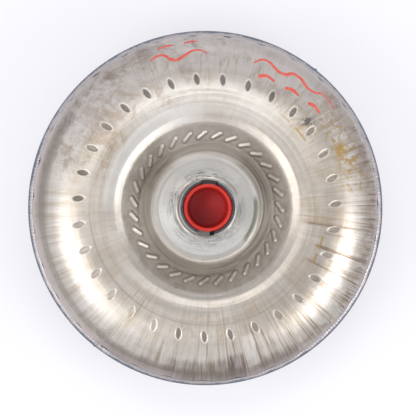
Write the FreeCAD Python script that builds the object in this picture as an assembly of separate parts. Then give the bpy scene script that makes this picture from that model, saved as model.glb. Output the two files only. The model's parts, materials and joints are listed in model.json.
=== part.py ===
import FreeCAD, Part
import math
import os

# Torque converter with a lock-up clutch, for an automatic transmission.
# Frame: millimetres, +Z along the rotation axis from the engine side to the transmission side.
# The origin is on the axis, in the plane of the six set block faces that bolt to the drive plate.

# ---------------------------------------------------------------- driving dimensions
COVER_R = 135.0            # outer radius of the front cover skirt
COVER_IN_R = 131.7         # inner radius of the skirt
LIP_Z = 60.0               # open end of the front cover, where the closing weld runs
COVER_FACE_Z = 14.0        # outer face of the cover's clutch annulus
COVER_IN_Z = 18.5          # inner face of that annulus, which the lock-up lining grips
COVER_MID_Z = 9.0          # outer face of the cover's centre
COVER_MID_IN_Z = 13.5      # inner face of the cover's centre

PILOT_R, PILOT_Z = 16.0, 1.5   # crankshaft pilot
BLOCKS = 6                 # set blocks
BLOCK_PCD = 224.0
BLOCK_W, BLOCK_L = 27.0, 20.0  # tangential, radial
BLOCK_HOLE_R = 4.35        # tapping bore of the M10 thread
BLOCK_HOLE_DEPTH = 11.5

SHELL_R = 131.6            # outer radius of the impeller shell's skirt
SHELL_T = 3.2
CREST_Z = 100.0            # top of the impeller shell
CREASE_R = 86.5            # where the flat crest turns into the outer dome
DOME_R = 46.0              # radius of the outer dome's section
FLAT_Z = 75.0              # flat land round the pump hub
CONE_R, CONE_Z = 63.0, 95.8  # top of the conical wall inside the crest
BLADES = 31                # impeller blades, and so tabs and dimples
PHASE = 1.66               # angle of the first dimple, degrees
DIMPLE_R = 95.7            # radius of the ring of stamped dimples
DIMPLE_L, DIMPLE_W, DIMPLE_D = 8.6, 3.7, 1.0
TAB_R = 54.6               # radius of the ring of raised inner tabs
TAB_SHIFT = -0.86          # tab angle less dimple angle, degrees
DENT_R = 130.4             # radius of the ring of dents beside the closing weld

HUB_R, HUB_BORE_R = 20.65, 17.6   # pump drive hub
HUB_END_Z = 120.0
HUB_FLANGE_R, HUB_FLANGE_Z = 35.9, 69.0
SLOT_W, SLOT_D, SLOT_TURN = 12.0, 12.0, -4.0  # pump drive slots in the hub's end

TURBINE_BLADES = 29
STATOR_BLADES = 20
RACE_R, RACE_SPLINE = 21.0, (14.6, 16.0, 26)     # stator race: outer radius, spline tip and root radius, teeth
TURB_HUB_R, TURB_SPLINE = 19.0, (10.9, 12.0, 22) # turbine hub barrel, its spline
SPRAGS = 20
SPRINGS = 10
NEEDLE_R = 1.0

V = FreeCAD.Vector
O, Z = V(0, 0, 0), V(0, 0, 1)
os.makedirs("parts", exist_ok=True)


# ---------------------------------------------------------------- helpers
def _corner(a, b, c, r):
    """Tangent points, centre side and mid point of the arc of radius r at corner b."""
    ux, uz = a[0] - b[0], a[1] - b[1]
    vx, vz = c[0] - b[0], c[1] - b[1]
    lu, lv = math.hypot(ux, uz), math.hypot(vx, vz)
    ux, uz, vx, vz = ux / lu, uz / lu, vx / lv, vz / lv
    half = math.acos(max(-1, min(1, ux * vx + uz * vz))) / 2
    t = r / math.tan(half)
    p1 = (b[0] + ux * t, b[1] + uz * t)
    p2 = (b[0] + vx * t, b[1] + vz * t)
    bx, bz = ux + vx, uz + vz
    lb = math.hypot(bx, bz)
    d = r / math.sin(half)
    centre = (b[0] + bx / lb * d, b[1] + bz / lb * d)
    mid = (centre[0] - bx / lb * r, centre[1] - bz / lb * r)
    return p1, mid, p2


def p3(p):
    return V(p[0], 0, p[1])


def path(pts):
    """Edges through (r, z) or (r, z, fillet) points, open."""
    edges, last = [], (pts[0][0], pts[0][1])
    for i in range(1, len(pts)):
        p = pts[i]
        if i < len(pts) - 1 and len(p) > 2 and p[2] > 0:
            p1, mid, p2 = _corner(pts[i - 1], p, pts[i + 1], p[2])
            if math.hypot(p1[0] - last[0], p1[1] - last[1]) > 1e-6:
                edges.append(Part.LineSegment(p3(last), p3(p1)).toShape())
            edges.append(Part.Arc(p3(p1), p3(mid), p3(p2)).toShape())
            last = p2
        else:
            if math.hypot(p[0] - last[0], p[1] - last[1]) > 1e-6:
                edges.append(Part.LineSegment(p3(last), p3(p)).toShape())
            last = (p[0], p[1])
    return edges


def offset(pts, t):
    """The points of the parallel path t to the right of travel, fillets kept concentric."""
    n = len(pts)
    dirs = []
    for i in range(n - 1):
        dx, dz = pts[i + 1][0] - pts[i][0], pts[i + 1][1] - pts[i][1]
        l = math.hypot(dx, dz)
        dirs.append((dx / l, dz / l))
    out = []
    for i in range(n):
        a, b = dirs[max(i - 1, 0)], dirs[min(i, n - 2)]
        na, nb = (a[1], -a[0]), (b[1], -b[0])
        k = 1 + na[0] * nb[0] + na[1] * nb[1]
        x = pts[i][0] + t * (na[0] + nb[0]) / k
        z = pts[i][1] + t * (na[1] + nb[1]) / k
        if len(pts[i]) > 2 and pts[i][2] > 0:
            left = a[0] * b[1] - a[1] * b[0] > 0
            out.append((x, z, pts[i][2] + (t if left else -t)))
        else:
            out.append((x, z))
    return out


def solid_of(edges, angle=360):
    wire = Part.Wire(Part.__sortEdges__(edges))
    face = Part.Face(wire)
    s = face.revolve(O, Z, angle)
    if s.ShapeType != "Solid":
        s = s.Solids[0] if s.Solids else Part.Solid(Part.Shell(s.Faces))
    return s if s.Volume > 0 else s.reversed()


def rev(pts, angle=360):
    """Solid of revolution of a closed polygon of (r, z) or (r, z, fillet) points."""
    pts = list(pts)
    a, b = pts[-1], pts[0]
    start = ((a[0] + b[0]) / 2, (a[1] + b[1]) / 2)
    return solid_of(path([start] + pts + [start]), angle)


def skin(pts, t):
    """Sheet of thickness t on the right of an open path, revolved."""
    q = offset(pts, t)
    edges = path(pts) + path(q)
    for i in (0, -1):
        edges.append(Part.LineSegment(V(pts[i][0], 0, pts[i][1]), V(q[i][0], 0, q[i][1])).toShape())
    return solid_of(edges)


def under(pts, floor):
    """Solid of revolution between an open path and the plane z = floor."""
    edges = path(pts)
    a, b = pts[0], pts[-1]
    for p, q in (((a[0], a[1]), (a[0], floor)), ((a[0], floor), (b[0], floor)), ((b[0], floor), (b[0], b[1]))):
        if math.hypot(p[0] - q[0], p[1] - q[1]) > 1e-6:
            edges.append(Part.LineSegment(p3(p), p3(q)).toShape())
    return solid_of(edges)


def ring(r0, r1, z0, z1, c=0.0):
    if c:
        return rev([(r0, z0 + c), (r0, z1 - c), (r0 + c, z1), (r1 - c, z1), (r1, z1 - c), (r1, z0 + c), (r1 - c, z0), (r0 + c, z0)])
    return rev([(r0, z0), (r0, z1), (r1, z1), (r1, z0)])


def turn(shape, deg):
    s = shape.copy()
    s.rotate(O, Z, deg)
    return s


def around(shape, n, start=0.0):
    return [turn(shape, start + 360.0 * i / n) for i in range(n)]


def one(shape):
    """The biggest solid of a boolean's result."""
    return max(shape.Solids, key=lambda s: s.Volume)


def polar(r, deg, z=0.0):
    return V(r * math.cos(math.radians(deg)), r * math.sin(math.radians(deg)), z)


def box(x0, x1, y0, y1, z0, z1):
    return Part.makeBox(x1 - x0, y1 - y0, z1 - z0, V(x0, y0, z0))


def strip(angle_at, r0, r1, t, z0, z1, n=14):
    """A thin curved wall standing along Z whose mid line is (r, angle_at(r)), angles in degrees."""
    left, right = [], []
    for i in range(n + 1):
        r = r0 + (r1 - r0) * i / n
        e = 0.01
        p, q = polar(r - e, angle_at(r - e)), polar(r + e, angle_at(r + e))
        d = (q - p).normalize()
        nrm = V(-d.y, d.x, 0)
        c = polar(r, angle_at(r))
        left.append(c + nrm * (t / 2))
        right.append(c - nrm * (t / 2))
    a, b = Part.BSplineCurve(), Part.BSplineCurve()
    a.interpolate(left)
    b.interpolate(right)
    w = Part.Wire([a.toShape(), Part.LineSegment(left[-1], right[-1]).toShape(), b.toShape(),
                   Part.LineSegment(right[0], left[0]).toShape()])
    f = Part.Face(w)
    f.translate(V(0, 0, z0))
    return f.extrude(V(0, 0, z1 - z0))


def spline_bore(tip, root, teeth, z0, z1):
    """The prism that cuts an internal spline: tooth tips at radius tip, roots at radius root."""
    pts = []
    for i in range(teeth):
        a = 360.0 * i / teeth
        p = 360.0 / teeth
        for r, f in ((tip, -0.33), (tip, -0.17), (root, -0.09), (root, 0.09), (tip, 0.17), (tip, 0.33)):
            if r == tip and abs(f) == 0.33:
                continue
            pts.append(polar(r, a + f * p, z0))
    pts.append(pts[0])
    return Part.Face(Part.makePolygon(pts)).extrude(V(0, 0, z1 - z0))


def write(name, *solids):
    flat = []
    for s in solids:
        flat += list(s) if isinstance(s, (list, tuple)) else [s]
    solids = [x for s in flat for x in s.Solids]
    for s in solids:
        if not s.isValid() or s.Volume <= 0:
            print("CHECK", name, s.isValid(), s.Volume)
    shape = solids[0] if len(solids) == 1 else Part.makeCompound(solids)
    shape.exportStep("parts/%s.step" % name)
    MADE[name] = shape


MADE = {}

# ---------------------------------------------------------------- front cover, engine side
cover = rev([
    (0, COVER_MID_Z), (42, COVER_MID_Z, 6), (56, COVER_FACE_Z, 8), (67.5, COVER_FACE_Z, 4), (71, 12.0, 4), (87, 12.0, 4),
    (90.5, COVER_FACE_Z, 4), (COVER_R, COVER_FACE_Z, 12), (COVER_R, LIP_Z - 0.6), (COVER_R - 0.6, LIP_Z),
    (COVER_IN_R, LIP_Z), (COVER_IN_R, COVER_IN_Z, 7), (91.5, COVER_IN_Z, 4), (88, 16.5, 4), (70, 16.5, 4),
    (66.5, COVER_IN_Z, 4), (54, COVER_IN_Z, 8), (40, COVER_MID_IN_Z, 6), (0, COVER_MID_IN_Z),
])
write("front_cover", cover)

# crankshaft pilot, a turned boss on a welded foot, with a centre drilling
pilot = rev([(0, PILOT_Z + 2.4), (2.4, PILOT_Z), (PILOT_R - 1.4, PILOT_Z), (PILOT_R, PILOT_Z + 1.4), (PILOT_R, 7.4, 0.6),
             (22, 7.4), (22, COVER_MID_Z), (0, COVER_MID_Z)])
write("pilot_boss", pilot)
write("pilot_weld", rev([(22.02, 7.6), (22.9, 7.9), (24.2, 8.5), (24.8, COVER_MID_Z), (22.02, COVER_MID_Z)]))

# set blocks: threaded blocks that the drive plate bolts to
def block_outline(grow):
    r = BLOCK_PCD / 2
    w, l = BLOCK_W / 2 + grow, BLOCK_L / 2 + grow
    c = 5.0 + grow
    pts = [(r - l, -w + 2), (r - l, w - 2), (r - l + 2, w), (r + l - c, w), (r + l, w - c * 1.5), (r + l, -w + c * 1.5), (r + l - c, -w), (r - l + 2, -w)]
    return [V(x, y, 0) for x, y in pts]


def prism(pts, z0, z1):
    pts = [V(p.x, p.y, z0) for p in pts]
    return Part.Face(Part.makePolygon(pts + [pts[0]])).extrude(V(0, 0, z1 - z0))


block = prism(block_outline(0), 0, COVER_FACE_Z)
block = block.makeChamfer(0.7, [e for e in block.Edges if all(abs(v.Z) < 1e-6 for v in e.Vertexes)])
hole = rev([(0, -1), (BLOCK_HOLE_R + 1.9, -1), (BLOCK_HOLE_R, 0.9), (BLOCK_HOLE_R, BLOCK_HOLE_DEPTH), (0, BLOCK_HOLE_DEPTH + 2.2)])
hole.translate(V(BLOCK_PCD / 2, 0, 0))
block = one(block.cut(hole))
write("set_blocks", around(block, BLOCKS))
base = prism(block_outline(2.4), 11.6, COVER_FACE_Z)
base = base.makeChamfer(2.0, [e for e in base.Edges if all(abs(v.Z - 11.6) < 1e-6 for v in e.Vertexes)])
base = one(base.cut(prism(block_outline(0.02), 0, 20)))
write("set_block_welds", around(base, BLOCKS))

# balance weights, small plates welded to the cover between set blocks
def weight(deg, w):
    b = box(96, 107, -w / 2, w / 2, COVER_FACE_Z - 2.2, COVER_FACE_Z)
    b = b.makeFillet(2.4, [e for e in b.Edges if abs(e.Vertexes[0].Z - e.Vertexes[1].Z) > 1])
    return turn(b, deg)


write("balance_weights", weight(30, 24), weight(44, 14), weight(150, 20))

# ---------------------------------------------------------------- impeller shell, transmission side
shell_path = [(36.2, FLAT_Z), (41.5, FLAT_Z, 5), (CONE_R, CONE_Z, 10), (72.5, CREST_Z, 26), (CREASE_R + DOME_R * math.tan(math.radians(35.5)), CREST_Z, DOME_R),
              (SHELL_R, None, 6.0), (SHELL_R, 51.0)]
cr = shell_path[4][0]
shell_path[5] = (SHELL_R, CREST_Z - (SHELL_R - cr) * math.tan(math.radians(71)), 6.0)
shell = skin(shell_path, SHELL_T)


def dome(r):
    """Height and outward tilt (degrees) of the shell's outer face on the dome."""
    s = (r - CREASE_R) / DOME_R
    return CREST_Z - DOME_R + DOME_R * math.sqrt(1 - s * s), math.degrees(math.asin(s))


def wall(r):
    """Height of the outer face on the conical wall that carries the raised tabs."""
    return FLAT_Z + (r - 41.5) * (CONE_Z - FLAT_Z) / (CONE_R - 41.5)


# the stamped dimples that lock the blades' middle tabs
z, tilt = dome(DIMPLE_R)
h, w = DIMPLE_L / 2, DIMPLE_W / 2
lens = Part.Wire([Part.Arc(V(-h, 0, 0), V(0, w, 0), V(h, 0, 0)).toShape(), Part.Arc(V(h, 0, 0), V(0, -w, 0), V(-h, 0, 0)).toShape()])
lens = Part.Face(lens).extrude(V(0, 0, 6))
lens.translate(V(0, 0, -DIMPLE_D))
lens.rotate(O, Z, 10)
lens.rotate(O, V(0, 1, 0), tilt)
lens.translate(V(DIMPLE_R, 0, z))
# the dents over the blades' outer tabs, beside the closing weld
zd, td = dome(DENT_R)
ball = Part.makeSphere(6.0, V(DENT_R + 5.15 * math.sin(math.radians(td)), 0, zd + 5.15 * math.cos(math.radians(td))))
shell = shell.cut(around(lens, BLADES, PHASE) + around(ball, BLADES, PHASE))
# the raised tabs over the blades' inner ends, slanting across the conical wall
a0, a1 = polar(TAB_R + 3.1, -3.75, wall(TAB_R + 3.1) - 0.35), polar(TAB_R - 3.1, 3.75, wall(TAB_R - 3.1) - 0.35)
d = a1 - a0
tab = Part.makeCylinder(1.25, d.Length, a0, d).multiFuse([Part.makeSphere(1.25, a0), Part.makeSphere(1.25, a1)])
shell = one(one(shell).multiFuse(around(tab, BLADES, PHASE + TAB_SHIFT)))
write("impeller_shell", shell)

# the closing weld round the rim, with the two overlaps where its passes meet
bead = rev([(SHELL_R + 0.04, LIP_Z), (COVER_R - 0.5, LIP_Z), (COVER_R - 0.75, LIP_Z + 1.3), (COVER_R - 1.8, LIP_Z + 2.6), (SHELL_R + 0.04, LIP_Z + 3.4)])
lumps = []
for deg in (51.0, 230.5):
    for dr, da, rr in ((133.6, 0.0, 2.0), (133.5, 1.2, 1.9), (133.3, 2.3, 1.7)):
        s = Part.makeSphere(rr, polar(dr, deg + da, LIP_Z + 1.3))
        lumps.append(s)
lump = lumps[0].multiFuse(lumps[1:])
lump = lump.cut(cover).cut(ring(100, SHELL_R + 0.04, 40, 90))
write("closing_weld", one(bead.multiFuse([s for s in lump.Solids if s.Volume > 1])))

# ---------------------------------------------------------------- pump drive hub
hub = rev([(HUB_BORE_R, HUB_FLANGE_Z + 0.8), (HUB_BORE_R, HUB_END_Z - 0.9), (HUB_BORE_R + 0.9, HUB_END_Z), (HUB_R - 0.9, HUB_END_Z),
           (HUB_R, HUB_END_Z - 0.9), (HUB_R, FLAT_Z, 3.0), (HUB_FLANGE_R - 0.5, FLAT_Z), (HUB_FLANGE_R, FLAT_Z - 0.5),
           (HUB_FLANGE_R, HUB_FLANGE_Z), (HUB_BORE_R + 0.8, HUB_FLANGE_Z)])
slot = box(-SLOT_W / 2, SLOT_W / 2, -30, 30, HUB_END_Z - SLOT_D, HUB_END_Z + 5)
slot = slot.makeFillet(1.2, [e for e in slot.Edges if abs(e.Vertexes[0].Z - (HUB_END_Z - SLOT_D)) < 1e-6 and abs(e.Vertexes[1].Z - (HUB_END_Z - SLOT_D)) < 1e-6 and abs(e.Vertexes[0].Y - e.Vertexes[1].Y) > 1])
hub = one(hub.cut(turn(slot, SLOT_TURN)))
write("pump_hub", hub)
write("hub_weld", rev([(HUB_FLANGE_R + 0.01, FLAT_Z - 3.0), (HUB_FLANGE_R + 0.01, FLAT_Z - 0.8), (36.18, FLAT_Z - 0.8), (36.18, FLAT_Z - SHELL_T - 0.02), (37.6, FLAT_Z - SHELL_T - 0.02), (36.6, FLAT_Z - 4.4), (HUB_FLANGE_R + 0.01, FLAT_Z - 4.6)]))

# ---------------------------------------------------------------- impeller blades and core ring
core_path = [(71.0, 67.2), (71.0, 79.5, 8), (107.5, 79.5, 10), (107.5, 67.2)]
write("impeller_core_ring", skin(core_path, 1.2))
cavity = offset(shell_path, SHELL_T + 0.05)
cavity = under(cavity[:-1] + [(cavity[-1][0], 60.0)], 60.0)


def impeller_angle(r):
    return 0.0 if r >= 88 else 0.0515 * (88 - r) ** 1.915 / 1.915


blade = strip(impeller_angle, 50.5, 129.5, 1.0, 67.2, 101)
blade = blade.common(cavity)
blade = blade.cut(under([(70.95, 60), (70.95, 79.55, 8), (107.55, 79.55, 10), (107.55, 60)], 60))
blade = blade.cut(rev([(30, 60), (30, 79.5), (50, 78.8), (70.97, 76.5), (70.97, 60)]))
blade = one(blade)
write("impeller_blades", around(blade, BLADES, PHASE))

# ---------------------------------------------------------------- turbine
TD = 35.0
turb_path = [(34.0, 46.0), (48.0, 46.0, 5), (60.0, 36.5, 20), (92.8 + TD * math.tan(math.radians(39)), 36.5, TD), (127.2, None)]
tx = turb_path[3][0]
turb_path[4] = (127.2, 36.5 + (127.2 - tx) * math.tan(math.radians(78)))
up = [(p[0], p[1]) + ((p[2],) if len(p) > 2 else ()) for p in turb_path]
rivet_holes = [Part.makeCylinder(2.5, 12, polar(39.5, 360.0 * i / 10, 40)) for i in range(10)]
turb_shell = skin(up, -2.0)
turb_shell = one(turb_shell.cut(rivet_holes))
write("turbine_shell", turb_shell)
inner = offset(up, -2.05)
top = [(inner[0][0], inner[0][1])] + inner[1:-1] + [(inner[-1][0], 65.0)]
edges = path(top)
edges += [Part.LineSegment(p3(top[-1]), V(inner[0][0], 0, 65.0)).toShape(), Part.LineSegment(V(inner[0][0], 0, 65.0), p3(top[0])).toShape()]
tcav = solid_of(edges)


def turbine_angle(r):
    return -24.0 * ((127.0 - r) / 75.0) ** 1.6 if r < 127 else 0.0


tblade = strip(turbine_angle, 52.5, 126.5, 1.0, 36, 64.8)
tblade = tblade.common(tcav)
tblade = tblade.cut(rev([(70.95, 70), (70.95, 54.45, 8), (107.55, 54.45, 10), (107.55, 70)]))
tblade = tblade.cut(rev([(30, 70), (30, 50), (52, 50), (70.97, 55.6), (70.97, 70)]))
write("turbine_blades", around(one(tblade), TURBINE_BLADES, 3.0))
write("turbine_core_ring", skin([(71.0, 64.8), (71.0, 54.5, 8), (107.5, 54.5, 10), (107.5, 64.8)], -1.2))

thub = rev([(9.0, 17.4), (9.0, 46.0), (33.4, 46.0), (33.4, 45.98), (44.0, 45.98), (44.0, 42.0), (26.0, 42.0, 3), (22.0, 37.0, 2), (TURB_HUB_R, 36.0), (TURB_HUB_R, 27.6),
            (17.2, 27.6), (17.2, 25.2), (TURB_HUB_R, 25.2), (TURB_HUB_R, 18.2), (TURB_HUB_R - 0.8, 17.4)])
thub = thub.cut(spline_bore(TURB_SPLINE[0], TURB_SPLINE[1], TURB_SPLINE[2], 10, 50))
thub = one(thub.cut(rivet_holes))
write("turbine_hub", thub)
write("piston_seal", ring(17.3, 18.98, 25.3, 27.5, 0.3))
rivet = rev([(0, 39.9), (3.2, 40.3, 0.8), (4.3, 41.98), (2.46, 41.98), (2.46, 48.02), (4.3, 48.02), (3.4, 49.3, 0.8), (0, 49.6)])
rivet.translate(V(39.5, 0, 0))
write("turbine_rivets", around(rivet, 10))

# driven plate: welded under the turbine shell, its tabs sit between the damper springs
SP_R, SP_Z, SP_L, SP_OD, SP_WIRE = 110.5, 30.9, 45.6, 11.4, 2.6
pitch = 360.0 / SPRINGS
drv = ring(108.0, 113.2, 37.6, 44.2)
sector = rev([(107, 25), (107, 38), (114, 38), (114, 25)], 10.6)
tabs = [turn(ring(108.0, 113.2, 27.2, 37.7).common(sector), pitch * (i + 0.5) - 5.3) for i in range(SPRINGS)]
drv = drv.multiFuse(tabs).cut(rev(turb_path[1:-1] + [(127.2, turb_path[4][1]), (127.2, 80), (48, 80)]))
write("driven_plate", one(drv))

# ---------------------------------------------------------------- lock-up clutch
piston = rev([(19.05, 19.2), (19.05, 31.5), (22.6, 31.5), (22.6, 24.5, 3), (88, 24.5), (121.0, 24.5, 2), (121.0, 34.5), (123.6, 34.5), (123.6, 20.7, 3),
              (95.5, 20.7), (93.5, 21.3), (27.0, 21.3, 2), (24.0, 19.2, 1.5)])
pr = [Part.makeCylinder(2.0, 12, polar(84.0, pitch * i, 18)) for i in range(SPRINGS)]
piston = one(piston.cut(pr))
write("lockup_piston", piston)
lining = ring(97.0, 120.0, 19.5, 20.7)
grooves = [turn(box(96, 121, -0.8, 0.8, 19.0, 20.0), 15 + 30 * i) for i in range(12)]
write("friction_lining", one(lining.cut(grooves)))
ret = rev([(78.0, 24.52), (78.0, 26.1), (102.2, 26.1, 1.5), (102.2, 33.5), (103.8, 33.5), (103.8, 24.52)])
stop = rev([(103.7, 24.52), (103.7, 33.5), (107.2, 33.5), (107.2, 24.52)], 11.2)
stops = [turn(stop, pitch * (i + 0.5) - 5.6) for i in range(SPRINGS)]
ostop = rev([(107.1, 24.52), (107.1, 26.3), (114.0, 26.3), (114.0, 33.5), (117.2, 33.5), (117.2, 24.52)], 11.2)
ostops = [turn(ostop, pitch * (i + 0.5) - 5.6) for i in range(SPRINGS)]
ret = one(ret.multiFuse(stops + ostops).cut(pr))
write("damper_retainer", ret)
prv = rev([(0, 19.1), (3.0, 19.4, 0.6), (3.6, 21.28), (1.96, 21.28), (1.96, 26.12), (3.6, 26.12), (3.0, 27.4, 0.6), (0, 27.7)])
prv.translate(V(84.0, 0, 0))
write("damper_rivets", around(prv, SPRINGS))

helix = Part.makeHelix(5.0, SP_L - SP_WIRE, (SP_OD - SP_WIRE) / 2)
circle = Part.Wire([Part.Circle(V((SP_OD - SP_WIRE) / 2, 0, 0), V(0, 1, 0), SP_WIRE / 2).toShape()])
coil = Part.Wire(helix.Edges).makePipeShell([circle], True, True)
coil = coil.Solids[0]
coil.translate(V(0, 0, -(SP_L - SP_WIRE) / 2))
coil.rotate(O, V(1, 0, 0), 90)
coil.translate(V(SP_R - 0.5, 0, SP_Z))
write("damper_springs", around(coil, SPRINGS))

# ---------------------------------------------------------------- stator and one-way clutch
race = rev([(13.0, 50.6), (13.0, 64.6), (RACE_R - 0.5, 64.6), (RACE_R, 64.1), (RACE_R, 51.1), (RACE_R - 0.5, 50.6)])
race = one(race.cut(spline_bore(RACE_SPLINE[0], RACE_SPLINE[1], RACE_SPLINE[2], 40, 80)))
write("stator_race", race)
write("clutch_outer_race", ring(27.0, 33.0, 52.05, 62.95, 0.4))
cage = ring(23.3, 24.7, 52.6, 62.4)
wins = [turn(box(20, 28, -2.35, 2.35, 53.8, 61.2), 360.0 * i / SPRAGS) for i in range(SPRAGS)]
write("sprag_cage", one(cage.cut(wins)))
sp = Part.makeCylinder(1.95, 7.0, V(23.02, -0.28, 54.0)).fuse(Part.makeCylinder(1.95, 7.0, V(24.98, 0.28, 54.0)))
sp = one(sp.fuse(box(23.0, 25.0, -1.5, 1.5, 54.0, 61.0)))
write("sprags", around(sp, SPRAGS))
write("stator_end_plates", ring(21.2, 33.0, 49.95, 52.0, 0.3), ring(21.2, 33.0, 63.0, 65.05, 0.3))

rings = [rev([(33.05, 50.4), (33.05, 64.8), (38, 64.8), (40, 66.5), (44.5, 69.6, 1.5), (47.0, 69.6, 1.0), (47.6, 62.0, 8), (47.0, 55.8, 1.0), (44.0, 55.8), (40, 53.4), (38, 50.4)]),
         rev([(65.8, 57.2, 1.0), (65.8, 73.4, 1.0), (69.0, 73.4, 1.0), (69.4, 65.3), (69.0, 57.2, 1.0)])]


def foil(r, k):
    """Aerofoil section of a stator vane on the plane x = r, as a closed wire; k scales its chord."""
    camber = [(-3.6, 6.9), (-1.6, 3.6), (-0.2, 0.0), (1.0, -3.6), (3.6, -7.6)]
    thick = [0.5, 1.75, 1.9, 1.2, 0.35]
    zc = 65.0 if r > 55 else 63.0
    up_, dn = [], []
    for i, (t, zz) in enumerate(camber):
        j, l = max(i - 1, 0), min(i + 1, 4)
        dx, dz = camber[l][0] - camber[j][0], camber[l][1] - camber[j][1]
        m = math.hypot(dx, dz)
        nx, nz = dz / m, -dx / m
        up_.append(V(r, (t + nx * thick[i]) * k, zc + (zz + nz * thick[i]) * k))
        dn.append(V(r, (t - nx * thick[i]) * k, zc + (zz - nz * thick[i]) * k))
    a, b = Part.BSplineCurve(), Part.BSplineCurve()
    a.interpolate(up_)
    b.interpolate(dn)
    return Part.Wire([a.toShape(), Part.LineSegment(up_[-1], dn[-1]).toShape(), b.toShape(), Part.LineSegment(dn[0], up_[0]).toShape()])


vane = Part.makeLoft([foil(45.5, 0.78), foil(67.0, 1.0)], True, True)
vanes = around(vane, STATOR_BLADES)
stator = rings[0].multiFuse([rings[1]] + vanes)
write("stator_wheel", one(stator))

# ---------------------------------------------------------------- needle thrust bearings
def bearing(name, r0, r1, n, zc, low_name, low_z, high_name, high_z):
    """Cage and needles centred on height zc between radii r0 and r1."""
    c = ring(r0 - 1.0, r1 + 1.0, zc - 0.45, zc + 0.45)
    slots = [turn(box(r0 - 0.12, r1 + 0.12, -1.06, 1.06, zc - 2, zc + 2), 360.0 * i / n) for i in range(n)]
    write(name + "_cage", one(c.cut(slots)))
    needle = Part.makeCylinder(NEEDLE_R, r1 - r0, V(r0, 0, zc), V(1, 0, 0))
    write(name + "_needles", around(needle, n))
    write(low_name, ring(r0 - 1.6, r1 + 1.6, low_z[0], low_z[1], 0.2))
    write(high_name, ring(r0 - 1.6, r1 + 1.6, high_z[0], high_z[1], 0.2))


bearing("cover_bearing", 15.2, 20.0, 26, 15.45, "cover_bearing_race", (13.52, 14.4), "turbine_lower_race", (16.5, 17.38))
bearing("turbine_bearing", 24.2, 29.0, 36, 47.95, "turbine_upper_race", (46.02, 46.9), "stator_lower_race", (49.0, 49.93))
bearing("pump_bearing", 24.6, 29.8, 36, 67.05, "stator_upper_race", (65.07, 66.0), "pump_bearing_race", (68.1, 68.98))

# ---------------------------------------------------------------- shipping plug in the hub bore
plug = rev([(0, 103.0), (0, 101.4), (15.6, 101.4, 1.2), (16.9, 104.0), (17.4, 118.4), (17.5, 121.0, 1.0), (15.0, 121.0, 1.0), (14.7, 118.0), (14.0, 103.0, 1.5)])
write("shipping_plug", plug)

vol = 0.0
for n in sorted(MADE):
    bb = MADE[n].BoundBox
    print("%-22s solids %3d  vol %9.0f  z %7.2f..%7.2f  r %7.2f" % (n, len(MADE[n].Solids), MADE[n].Volume, bb.ZMin, bb.ZMax, bb.XMax))
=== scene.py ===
import math
import json

import bpy
import bmesh
import numpy as np
from mathutils import Vector, Matrix


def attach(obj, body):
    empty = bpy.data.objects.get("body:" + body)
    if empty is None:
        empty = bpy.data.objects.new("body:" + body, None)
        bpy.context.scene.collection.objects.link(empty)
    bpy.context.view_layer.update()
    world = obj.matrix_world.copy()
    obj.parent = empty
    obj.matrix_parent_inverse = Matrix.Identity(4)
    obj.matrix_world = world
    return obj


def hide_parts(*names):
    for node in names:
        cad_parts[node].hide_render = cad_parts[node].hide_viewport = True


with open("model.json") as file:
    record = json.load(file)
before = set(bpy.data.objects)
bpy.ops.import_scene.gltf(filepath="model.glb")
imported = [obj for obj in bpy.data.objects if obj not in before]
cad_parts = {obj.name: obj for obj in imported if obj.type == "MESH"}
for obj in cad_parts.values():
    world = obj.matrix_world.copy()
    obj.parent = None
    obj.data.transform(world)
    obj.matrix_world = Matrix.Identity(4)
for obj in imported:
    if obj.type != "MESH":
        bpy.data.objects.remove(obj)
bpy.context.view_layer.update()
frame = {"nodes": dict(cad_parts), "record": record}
nodes = frame["nodes"]
MM = 0.001
RAD = math.radians

# ---------------------------------------------------------------- sizes repeated from the CAD, millimetres and degrees
BLADES = 31
PITCH = 360.0 / BLADES
PHASE = 1.66
SHELL_R, SHELL_T, CREST_Z, FLAT_Z = 131.6, 3.2, 100.0, 75.0
CREASE_R, DOME_R = 86.5, 46.0
DIMPLE_R, TAB_R, TAB_SHIFT, DENT_R = 95.7, 54.6, -0.86, 130.6
HUB_R, HUB_BORE, HUB_END, HUB_FLANGE_R = 20.65, 17.6, 120.0, 35.9
SLOT_W, SLOT_D, SLOT_TURN = 12.0, 12.0, -4.0
COVER_R, LIP_Z = 135.0, 60.0
LUMPS = (51.5, 231.0)


# ---------------------------------------------------------------- profiles
def corner(a, b, c, r):
    ux, uz = a[0] - b[0], a[1] - b[1]
    vx, vz = c[0] - b[0], c[1] - b[1]
    lu, lv = math.hypot(ux, uz), math.hypot(vx, vz)
    ux, uz, vx, vz = ux / lu, uz / lu, vx / lv, vz / lv
    half = math.acos(max(-1, min(1, ux * vx + uz * vz))) / 2
    t, d = r / math.tan(half), r / math.sin(half)
    bx, bz = ux + vx, uz + vz
    lb = math.hypot(bx, bz)
    return (b[0] + ux * t, b[1] + uz * t), (b[0] + vx * t, b[1] + vz * t), (b[0] + bx / lb * d, b[1] + bz / lb * d)


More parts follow.
